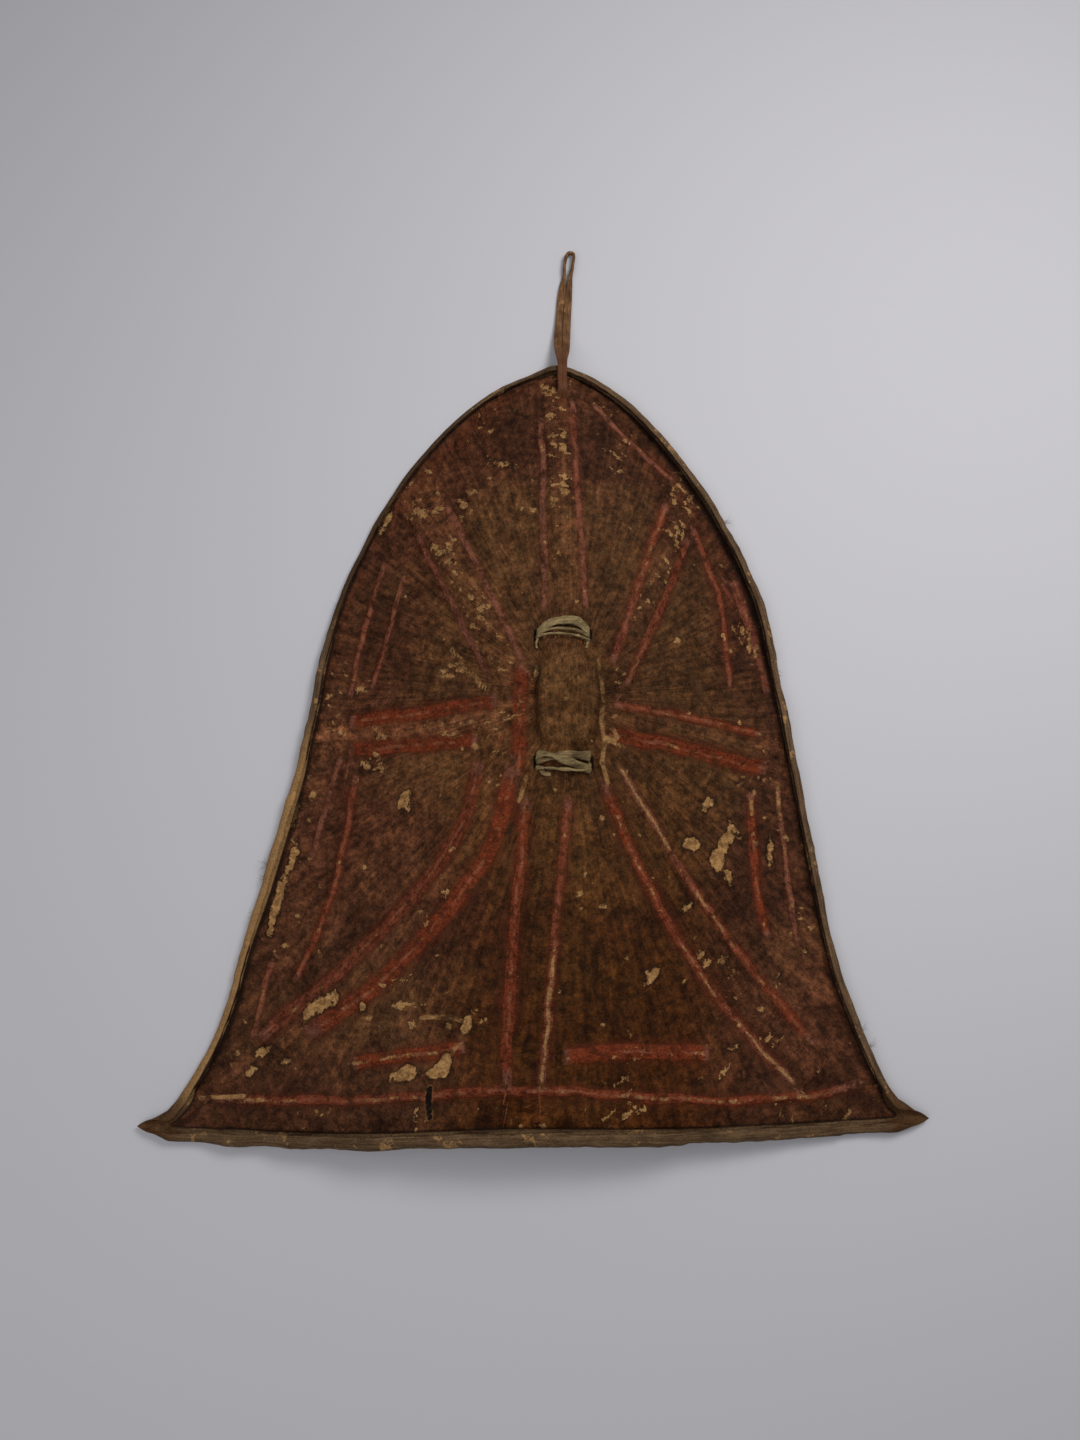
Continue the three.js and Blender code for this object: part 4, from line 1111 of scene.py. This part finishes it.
    # grain
    grain = useGroup(graph, grainGroup, {"Vector": place, "Pore Scale": 520.0, "Depth": 1.0})
    colour = shaded(colour, grain["Tone"])
    wrinkles = noise(across, 260, 3, 0.6)
    height = add(grain["Height"], scaled(product(fibres, onBoss), 2.2))
    for part, depth in ((product(wrinkles, inBand), 3.2), (middling, 3.5), (streaks, 2.6), (mottle, 1.6),
                        (flaked, -1.3),
                        (speckle, -0.6), (redMask, 0.7)):
        height = add(height, scaled(part, depth))
    bump = graph.node("ShaderNodeBump", {"Height": height, "Strength": 0.85, "Distance": 0.0009})
    rough = add(scaled(mottle, 0.35, 0.42), scaled(highest(speckle, flaked), 0.2))
    graph.put(shader.inputs["Base Color"], colour)
    graph.put(shader.inputs["Roughness"], rough)
    graph.put(shader.inputs["Normal"], bump.outputs["Normal"])
    shader.inputs["Specular IOR Level"].default_value = 0.06
    return material


def finishPiece(piece, material, node):
    # every piece rides the root; a piece without a node stands for nothing in the CAD
    piece.data.materials.append(material)
    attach(piece, "root")
    if node:
        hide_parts(node)


finishPiece(hidePiece, paintedHide(), "hide")
print("stage: hide painted")


def sweptStrand(path, wide, thick, halfWide, halfThick, closed=False):
    # a rounded flat section carried along a path: at each station the section's corners are
    # middle + wide * w * halfWide + thick * t * halfThick, with (w, t) on a superellipse
    around = 14
    angle = np.arange(around) / around * math.tau
    w = np.sign(np.cos(angle)) * np.abs(np.cos(angle)) ** 0.6
    t = np.sign(np.sin(angle)) * np.abs(np.sin(angle)) ** 0.8
    rings = (path[:, None] + wide[:, None] * (w[None, :, None] * np.reshape(halfWide, (-1, 1, 1)))
             + thick[:, None] * (t[None, :, None] * np.reshape(halfThick, (-1, 1, 1))))
    faces = gridFaces(len(path), around, True)[:, ::-1]
    if closed:
        return rings.reshape(-1, 3), list(faces)
    faces = list(faces[: (len(path) - 1) * around])
    last = (len(path) - 1) * around
    ends = [list(range(around)), list(range(last + around - 1, last - 1, -1))]
    return rings.reshape(-1, 3), faces + ends


def gathered(parts):
    # several bodies as one list of points and faces
    points, faces, start = [], [], 0
    for partPoints, partFaces in parts:
        points.append(partPoints)
        faces += [[corner + start for corner in face] for face in partFaces]
        start += len(partPoints)
    return np.vstack(points), faces


def unitRows(rows):
    return rows / np.maximum(np.linalg.norm(rows, axis=1), 1e-9)[:, None]


def squareTo(tangent, rows):
    # each row less its part along the tangent, one unit long
    return unitRows(rows - tangent * np.sum(rows * tangent, axis=1)[:, None])


def softened(values, reach):
    # a closed run of values, each averaged with its neighbours on both sides
    window = 2 * reach + 1
    return np.convolve(np.concatenate([values[-reach:], values, values[:reach]]), np.ones(window) / window, "valid")


hangingLoop = {
    "hole": (30, 720),
    "tip": (40, 893),
    "bend": 3.2,  # bow to the left between the rim and the tip
    "strandHalf": (4.4, 1.6),
    "strandOffset": 4.6,
    "eyeHalf": 4.3,
    "eyeLength": 22,
    "knotHalf": (9.5, 7, 5.5),
    "stations": 260,
    "knotStations": 120,
    # share of full width, and of the strands' distance apart, at each share of the way from rim to tip
    "pinch": [(-0.4, 0.66), (0.0, 0.64), (0.06, 0.70), (0.22, 0.96), (0.36, 1.0), (0.62, 0.90), (0.85, 0.80),
              (1.0, 0.72)],
    "gather": [(-0.4, 0.46), (0.0, 0.46), (0.06, 0.54), (0.22, 0.90), (0.36, 0.94), (0.62, 0.84), (0.85, 0.74),
               (1.0, 0.66)],
}


spineY = crown[1] - hide["topRim"] - hide["thickness"] / 2  # the curl's spine where the loop passes over it


def loopPath():
    # up through the hole, over the rim, along the ground, round the eye and back: points, and
    # at each how far the strand has turned on edge
    holeX, holeY = hangingLoop["hole"]
    tipX, tipY = hangingLoop["tip"]
    front = sheetHeight(np.array([holeX]), np.array([holeY]))[0] + hide["thickness"] / 2
    rimTop = sheetHeight(np.array([crown[0]]), np.array([spineY]))[0] + 2 * hide["topRim"] + hide["cuffHalf"]
    over = rimTop + 0.4 + hangingLoop["strandHalf"][1] + 0.6
    eyeY = tipY - hangingLoop["eyeLength"]
    side = np.array([
        (holeY - 1, front - hide["thickness"] - 8, 0), (holeY, front - 1, 0), (holeY + 7, front + 4.5, 0),
        (spineY - 8, over + 0.6, 0), (spineY + 7, over, 0), (spineY + 22, over - 9, 0),
        (spineY + 42, 8, 0), (spineY + 75, 3, 0), (eyeY - 26, 2.8, 0), (eyeY - 6, 4.4, 0.7),
        (eyeY + 4, 5, 1), (tipY - 8, 5, 1),
    ])
    turn = np.radians([150, 120, 90, 60, 30])
    tipRadius = hangingLoop["eyeHalf"]
    opened = hangingLoop["strandOffset"] * lookUp(hangingLoop["gather"], (side[:, 0] - spineY) / (tipY - spineY))
    opened = opened + (tipRadius - opened) * smooth(0.75, 1, side[:, 2])
    tipRows = np.column_stack([
        tipY - hangingLoop["strandHalf"][1] - tipRadius + np.sin(turn) * tipRadius, np.full(5, 5.0), np.ones(5)])
    rows = np.vstack([side, tipRows, side[::-1]])
    offset = np.concatenate([-opened, np.cos(turn) * tipRadius, opened[::-1]])
    share = np.maximum(rows[:, 0] - spineY, 0) / (tipY - spineY)
    x = holeX + (tipX - holeX) * share - hangingLoop["bend"] * np.sin(math.pi * share) + offset
    return np.column_stack([x, rows[:, 0], rows[:, 1]]), rows[:, 2], front


def buildLoop():
    # both strands as one hairpin whose width wanders, with a wound knot behind the hide
    points, rolls, front = loopPath()
    count = hangingLoop["stations"]
    path = throughPoints(points, count)
    roll = throughPoints(np.column_stack([rolls, rolls, rolls]), count)[:, 0] * math.pi / 2
    share = np.linspace(0, 1, count)
    tangent = unitRows(np.gradient(path, axis=0))
    flat = np.cross(tangent, [0, 0, 1])
    flat[share < 0.12] = (1, 0, 0)
    flat[share > 0.88] = (-1, 0, 0)
    flat = squareTo(tangent, flat)
    lift = unitRows(np.cross(flat, tangent))
    twist = roll + 0.10 * ripples(share * 900, 0 * share, 60, 91) * np.cos(roll)
    wide = flat * np.cos(twist)[:, None] + lift * np.sin(twist)[:, None]
    thick = lift * np.cos(twist)[:, None] - flat * np.sin(twist)[:, None]
    pinch = lookUp(hangingLoop["pinch"], (path[:, 1] - spineY) / (hangingLoop["tip"][1] - spineY))
    halfWide = hangingLoop["strandHalf"][0] * pinch * (1 + 0.07 * ripples(share * 400, 0 * share, 28, 92))
    halfWide = halfWide * (1 - 0.22 * smooth(0.35, 0.95, np.sin(roll)))
    halfThick = hangingLoop["strandHalf"][1] * (1 + 0.10 * ripples(share * 400, 0 * share, 19, 93))
    strands = sweptStrand(path, wide, thick, halfWide, halfThick)
    # the knot: a strand along a three-lobed knot curve, squeezed to the knot's size
    knotCount = hangingLoop["knotStations"]
    t = np.linspace(0, math.tau, knotCount, endpoint=False)
    reachX, reachY, reachZ = hangingLoop["knotHalf"]
    knotZ = front - hide["thickness"] - 0.4 - reachZ - 1.6
    knot = np.column_stack([
        hangingLoop["hole"][0] + reachX * 0.27 * (np.sin(t) + 2 * np.sin(2 * t)),
        hangingLoop["hole"][1] - 1 + reachY * 0.27 * (np.cos(t) - 2 * np.cos(2 * t)),
        knotZ + reachZ * 0.55 * -np.sin(3 * t),
    ])
    knotTangent = unitRows(np.roll(knot, -1, 0) - np.roll(knot, 1, 0))
    outward = squareTo(knotTangent, unitRows(knot - knot.mean(0)))
    knotHalves = np.full(knotCount, 3.2), np.full(knotCount, 1.7)
    knotBody = sweptStrand(knot, np.cross(knotTangent, outward), outward, *knotHalves, True)
    return makePiece("loop_strands", *gathered([strands, knotBody]))


handGrip = {
    "overhang": 15,
    "half": 15,
    "radius": 7.5,
    "bow": 28,
    "waist": 3,
    "clearance": 3.5,
    "stations": 90,
    "around": 40,
}
gripLow = hide["slotLevels"][0] - handGrip["overhang"]
gripHigh = hide["slotLevels"][1] + handGrip["overhang"]


def gripHeight(y):
    # seated under the sheet at the thongs and bowed away between them by a sine to the power 1.5
    places = [(np.array([gripX]), np.array([float(level)])) for level in hide["slotLevels"]]
    seats = [sheetHeight(*spot)[0] - halfUpright(*spot)[0] for spot in places]
    low, high = hide["slotLevels"]
    share = np.clip((np.asarray(y, float) - low) / (high - low), 0, 1)
    return min(seats) - handGrip["clearance"] - handGrip["radius"] - handGrip["bow"] * np.sin(math.pi * share) ** 1.5


def buildGrip():
    # flat-sided sections along the bar, narrower at the waist and rounded off at both ends, with
    # the rolled hide's free edge as a step along the back and cords of wear across it
    stations, around = handGrip["stations"], handGrip["around"]
    spread = (1 - np.cos(math.pi * np.linspace(0, 1, stations))) / 2
    y = gripLow + (gripHigh - gripLow) * spread
    fromEnd = np.minimum(spread, 1 - spread) * (gripHigh - gripLow)
    tip = np.sqrt(np.maximum(1 - (1 - np.minimum(fromEnd / handGrip["radius"], 1)) ** 2, 0.12))
    half = (handGrip["half"] - handGrip["waist"] * np.sin(math.pi * spread) ** 2) * (0.6 + 0.4 * tip)
    radius = (handGrip["radius"] * tip)[:, None]
    angle = -math.tau * (np.arange(around) + 0.5)[None, :] / around
    seam = np.where(np.sin(angle) < 0, 1.0, 0.0) * smooth(-0.02, 0.03, np.cos(angle) + 0.25)
    rough = 1 - 0.06 * seam + 0.02 * ripples(y[:, None], angle * 30, 26, 95)
    rough = rough + 0.012 * ripples(y[:, None], angle * 30, 8, 96)
    x = gripX + np.tanh(np.cos(angle) * 6) * (half[:, None] - radius) + np.cos(angle) * radius * rough
    z = gripHeight(y)[:, None] + np.sin(angle) * radius * rough
    rings = np.stack([x, np.broadcast_to(y[:, None], x.shape), z], -1)
    faces = list(gridFaces(stations, around, True)[: (stations - 1) * around][:, ::-1])
    last = (stations - 1) * around
    centres = [rings[0].mean(0), rings[-1].mean(0)]
    k = np.arange(around)
    m = (k + 1) % around
    first, final = stations * around, stations * around + 1
    faces += list(np.column_stack([np.full(around, first), k, m]))
    faces += list(np.column_stack([np.full(around, final), last + m, last + k]))
    return makePiece("grip_bar", np.vstack([rings.reshape(-1, 3), centres]), faces)


# Strands of each thong: where it lies along the shield at its slots and at its crest, how high it
# arches, its half width and half thickness, its twist in half turns, how far it leans across the
# bar from end to end, and how brown it is
strandKeys = ("y", "crest", "arch", "halfWide", "halfThick", "twist", "lean", "brown")
thongs = {
    "upper": [
        (454, 12, 3.2, 4.1, 1.3, 0.10, 1.0, 0.0),
        (452, 6.0, 3.0, 1.3, 1.1, 0.30, -1.0, 0.25),
        (450, 3.2, 1.6, 1.2, 1.0, 0.45, -1.6, 0.1),
    ],
    "lower": [
        (335, 1.5, 2.2, 4.6, 1.4, 0.25, 1.5, 0.5),
        (331, 2.0, 4.4, 4.2, 1.3, 0.35, -6.5, 0.0),
        (325, -1.0, 1.0, 2.2, 1.2, 0.6, -1.0, 0.2),
    ],
}
# Short ends left hanging at the slots: points to the side of the bar, along the shield and above
# the thong's lift, with a half width
thongEnds = {
    "upper": [
        ([(22.5, 454, 1.2), (23.5, 448, 1.8), (22.0, 441, 0.8)], 1.7),
        ([(-23.5, 452, 1.0), (-25.5, 446, 1.4), (-25.0, 441, 0.6)], 1.2),
    ],
    "lower": [
        ([(-21, 325, 1.4), (-18, 320.5, 1.8), (-12, 319.5, 1.2)], 2.6),
        ([(21, 334, 1.0), (24.5, 337, 1.4), (25, 342, 0.6)], 1.2),
    ],
}
thongShape = {"thickness": 3.0, "span": 25, "lift": 1.1, "width": 11, "clearance": 0.4, "stations": 220,
              "endStations": 24}


def tightString(circles, angle, further):
    # the point of a string pulled tight round circles (x, z, radius): in each direction the circle
    # that reaches furthest, left by its radius and a further distance
    direction = np.column_stack([np.cos(angle), np.sin(angle)])
    reach = direction @ circles[:, :2].T + circles[:, 2]
    best = circles[np.argmax(reach, axis=1)]
    return best[:, :2] + direction * (best[:, 2] + further)[:, None]


def thongCircles(level):
    # points along the crest of the sheet under the thong, and the four corners of the bar
    levels = level + np.array([-0.5, 0, 0.5]) * thongShape["width"]
    xs = gripX + np.linspace(-1, 1, 13) * (thongShape["span"] - thongShape["thickness"] / 2)
    heights = [sheetHeight(xs, 0 * xs + at) + halfUpright(xs, 0 * xs + at) for at in levels]
    rows = [(x, z + thongShape["lift"], 0) for x, z in zip(xs, np.max(heights, axis=0))]
    bars = gripHeight(levels)
    shoulder = handGrip["half"] - handGrip["radius"]
    for z in (bars.min(), bars.max()):
        rows += [(gripX - shoulder, z, handGrip["radius"] + thongShape["clearance"]),
                 (gripX + shoulder, z, handGrip["radius"] + thongShape["clearance"])]
    return np.array(rows)


def buildThong(name, level, strands, ends):
    # each strand follows the tight string round the sheet and the bar, evened out along its
    # length, and shifts along the shield, arches and twists only where it lies on the front
    circles = thongCircles(level)
    parts, browns = [], []
    for index, strand in enumerate(dict(zip(strandKeys, row)) for row in strands):
        angle = -math.tau * np.arange(1440) / 1440
        ring = tightString(circles, angle, thongShape["thickness"] / 2 * (0.55 + 0.35 * index))
        run = np.concatenate([[0], np.cumsum(np.hypot(*np.diff(ring, axis=0).T))])
        total = run[-1] + np.hypot(*(ring[0] - ring[-1]))
        at = np.linspace(0, total, thongShape["stations"], endpoint=False)
        closedRing = np.vstack([ring, ring[:1]])
        run = np.append(run, total)
        x, z = np.interp(at, run, closedRing[:, 0]), np.interp(at, run, closedRing[:, 1])
        x, z = softened(x, 3), softened(z, 3)
        front = z > sheetHeight(x, 0 * x + level) + 1
        cross = np.clip((x - gripX) / thongShape["span"], -1, 1)
        arch = np.where(front, 1 - np.abs(cross) ** 3.4, 0)
        y = strand["y"] + strand["crest"] * arch + np.where(front, strand["lean"] * np.sin(cross * math.pi / 2), 0)
        y = softened(y, 6)
        z = z + strand["arch"] * arch
        path = np.column_stack([x, y, z])
        tangent = unitRows(np.roll(path, -1, 0) - np.roll(path, 1, 0))
        turned = strand["twist"] * math.pi * np.sin(math.pi * cross) * np.where(front, 1, 0)
        turned = softened(turned, 4)[:, None]
        side = unitRows(np.cross(tangent, np.cross([0, 1, 0], tangent)))
        lift = unitRows(np.cross(tangent, side))
        wide, thick = side * np.cos(turned) + lift * np.sin(turned), lift * np.cos(turned) - side * np.sin(turned)
        uneven = 1 + 0.10 * ripples(at, 0 * at + 40 * index, 17, 97 + index)
        halves = strand["halfWide"] * uneven, strand["halfThick"] * uneven
        parts.append(sweptStrand(path, wide, thick, *halves, True))
        browns.append(np.full(len(parts[-1][0]), strand["brown"]))
    count = thongShape["endStations"]
    for corners, halfWide in ends:
        path = throughPoints([(gripX + x, y, 0) for x, y, _ in corners], count)
        rise = throughPoints([(lift, 0, 0) for _, _, lift in corners], count)[:, 0]
        path[:, 2] = sheetHeight(path[:, 0], path[:, 1]) + halfUpright(path[:, 0], path[:, 1]) + rise
        tangent = unitRows(np.gradient(path, axis=0))
        side = unitRows(np.cross(tangent, [0, 0, 1]))
        taper = np.linspace(1, 0.7, count)
        parts.append(sweptStrand(path, side, np.cross(side, tangent), halfWide * taper, 0.8 * taper))
        browns.append(np.full(len(parts[-1][0]), 0.3))
    piece = makePiece(name, *gathered(parts))
    layer = piece.data.attributes.new("brown", "FLOAT", "POINT")
    layer.data.foreach_set("value", np.concatenate(browns).astype(np.float32))
    return piece


# Tufts of hair left on the margin: side, level along the edge, direction in degrees, number and length
hairTufts = [
    ("right", 588, 25, 9, 10), ("left", 238, 165, 9, 11), ("left", 226, 190, 6, 8), ("right", 66, 25, 7, 10),
    ("right", 82, 40, 5, 8), ("left", 498, 150, 4, 6), ("right", 430, 10, 4, 5), ("left", 190, 175, 5, 6),
]


hairShape = {"half": 0.17, "stations": 7}


def buildHair():
    # each hair is a thin three-sided tube along a bent line that tapers to its tip
    draw = np.random.default_rng(11)
    parts = []
    count = hairShape["stations"]
    last = 3 * (count - 1)
    shares = np.linspace(0, 1, count)
    ring = np.arange(3) / 3 * math.tau
    for edge, y, heading, number, length in hairTufts:
        x = float(sideEdge(edge, y)) + (-1.5 if edge == "right" else 1.5)
        for _ in range(number):
            lean, bend, size, rise, startX, startY = draw.random(6)
            aim = math.radians(heading + 70 * (lean - 0.5))
            along = shares * length * (0.5 + 0.7 * size)
            curl = (bend - 0.5) * 0.09 * along**2
            px = x + (startX - 0.5) * 3 + along * math.cos(aim) - curl * math.sin(aim)
            py = y + (startY - 0.5) * 5 + along * math.sin(aim) + curl * math.cos(aim)
            pz = 7 + 3 * rise + 0.25 * along - 0.02 * along**2
            path = np.column_stack([px, py, np.maximum(pz, 0.4)])
            tangent = unitRows(np.gradient(path, axis=0))
            side = unitRows(np.cross(tangent, [0, 0, 1]))
            lift = np.cross(side, tangent)
            thin = hairShape["half"] * (1 - 0.8 * shares)
            rings = (path[:, None] + side[:, None] * (np.cos(ring)[None, :, None] * thin[:, None, None])
                     + lift[:, None] * (np.sin(ring)[None, :, None] * thin[:, None, None]))
            faces = [list(face) for face in gridFaces(count, 3, True)[:last, ::-1]]
            faces += [[0, 1, 2], [last + 2, last + 1, last]]
            parts.append((rings.reshape(-1, 3), faces))
    return makePiece("hair_tufts", *gathered(parts))


# Each strand material: light and dark tones, how far its streaks are drawn out, its roughness and
# the height of its streaks; one has browner strands, and one is painted up to a level on the shield
strandLooks = {
    "driedRawhide": {
        "light": (0.20, 0.100, 0.040), "dark": (0.050, 0.020, 0.007), "along": (900, 40, 500),
        "roughness": 0.34, "streakHeight": 2.2, "paint": (0.085, 0.026, 0.010), "paintedTo": (752, 800),
    },
    "gripHide": {
        "light": (0.15, 0.075, 0.035), "dark": (0.055, 0.026, 0.013), "along": (500, 70, 500),
        "roughness": 0.30, "streakHeight": 1.6,
    },
    "thongHide": {
        "light": (0.262, 0.190, 0.084), "dark": (0.080, 0.054, 0.024), "along": (60, 900, 500),
        "roughness": 0.48, "streakHeight": 2.4, "brown": (0.230, 0.125, 0.062),
    },
}


def strandFinish(name):
    # dried skin strand: two tones by broad noise, long streaks, pores, paler spots that are partly
    # scuffs and partly painted highlight, and red-brown paint up to a level along the shield
    look = strandLooks[name]
    material, graph, shader, place = newMaterial(name)
    light = look["light"]
    if "brown" in look:
        brown = graph.node("ShaderNodeAttribute", attribute_name="brown").outputs["Fac"]
        light = graph.mix(brown, light, look["brown"])
    broad = graph.noise(place, 55, 3, 0.6)
    streaks = graph.noise(graph.stretch(place, look["along"]), 1.0, 4, 0.6)
    tone = graph.step(graph.add(graph.product(broad, 0.6), graph.product(streaks, 0.5)), 0.38, 0.72)
    colour = graph.mix(tone, look["dark"], light)
    grain = useGroup(graph, grainGroup, {"Vector": place, "Pore Scale": 900.0, "Depth": 1.0})
    colour = graph.shaded(colour, grain["Tone"])
    scuffAndHighlight = useGroup(graph, wearGroup, {"Vector": place, "Scale": 95.0, "Amount": 0.55})["Mask"]
    # paler spots: partly scuffed wear, partly painted highlight
    paleScuffAndHighlight = graph.shaded(light, 2.0)
    colour = graph.mix(graph.product(scuffAndHighlight, 0.55), colour, paleScuffAndHighlight)
    if "paint" in look:
        start, end = (metres((0, level, 0))[1] for level in look["paintedTo"])
        smeared = graph.add(graph.parts(place)[1], graph.centred(broad, 0.05))
        colour = graph.mix(graph.product(graph.step(smeared, end, start), 0.85), colour, look["paint"])
    height = graph.add(grain["Height"], graph.product(streaks, look["streakHeight"]))
    bump = graph.node("ShaderNodeBump", {"Height": height, "Strength": 0.8, "Distance": 0.0005})
    graph.put(shader.inputs["Base Color"], colour)
    graph.put(shader.inputs["Roughness"], graph.scaled(streaks, 0.25, look["roughness"]))
    graph.put(shader.inputs["Normal"], bump.outputs["Normal"])
    shader.inputs["Specular IOR Level"].default_value = 0.14
    return material


finishPiece(buildLoop(), strandFinish("driedRawhide"), "hanging_loop")
finishPiece(buildGrip(), strandFinish("gripHide"), "grip")
thongHide = strandFinish("thongHide")
for which, level in zip(("upper", "lower"), hide["slotLevels"][::-1]):
    thong = buildThong("thong_strands_" + which, level, thongs[which], thongEnds[which])
    finishPiece(thong, thongHide, "thong_" + which)


def hairFinish():
    # stiff brown hair in two tones
    material, graph, shader, place = newMaterial("coarseHair")
    tone = graph.mix(graph.noise(place, 300, 2), (0.05, 0.028, 0.015), (0.16, 0.10, 0.06))
    graph.put(shader.inputs["Base Color"], tone)
    shader.inputs["Roughness"].default_value = 0.5
    return material


finishPiece(buildHair(), hairFinish(), None)
print("stage: loop, grip, thongs and hair")
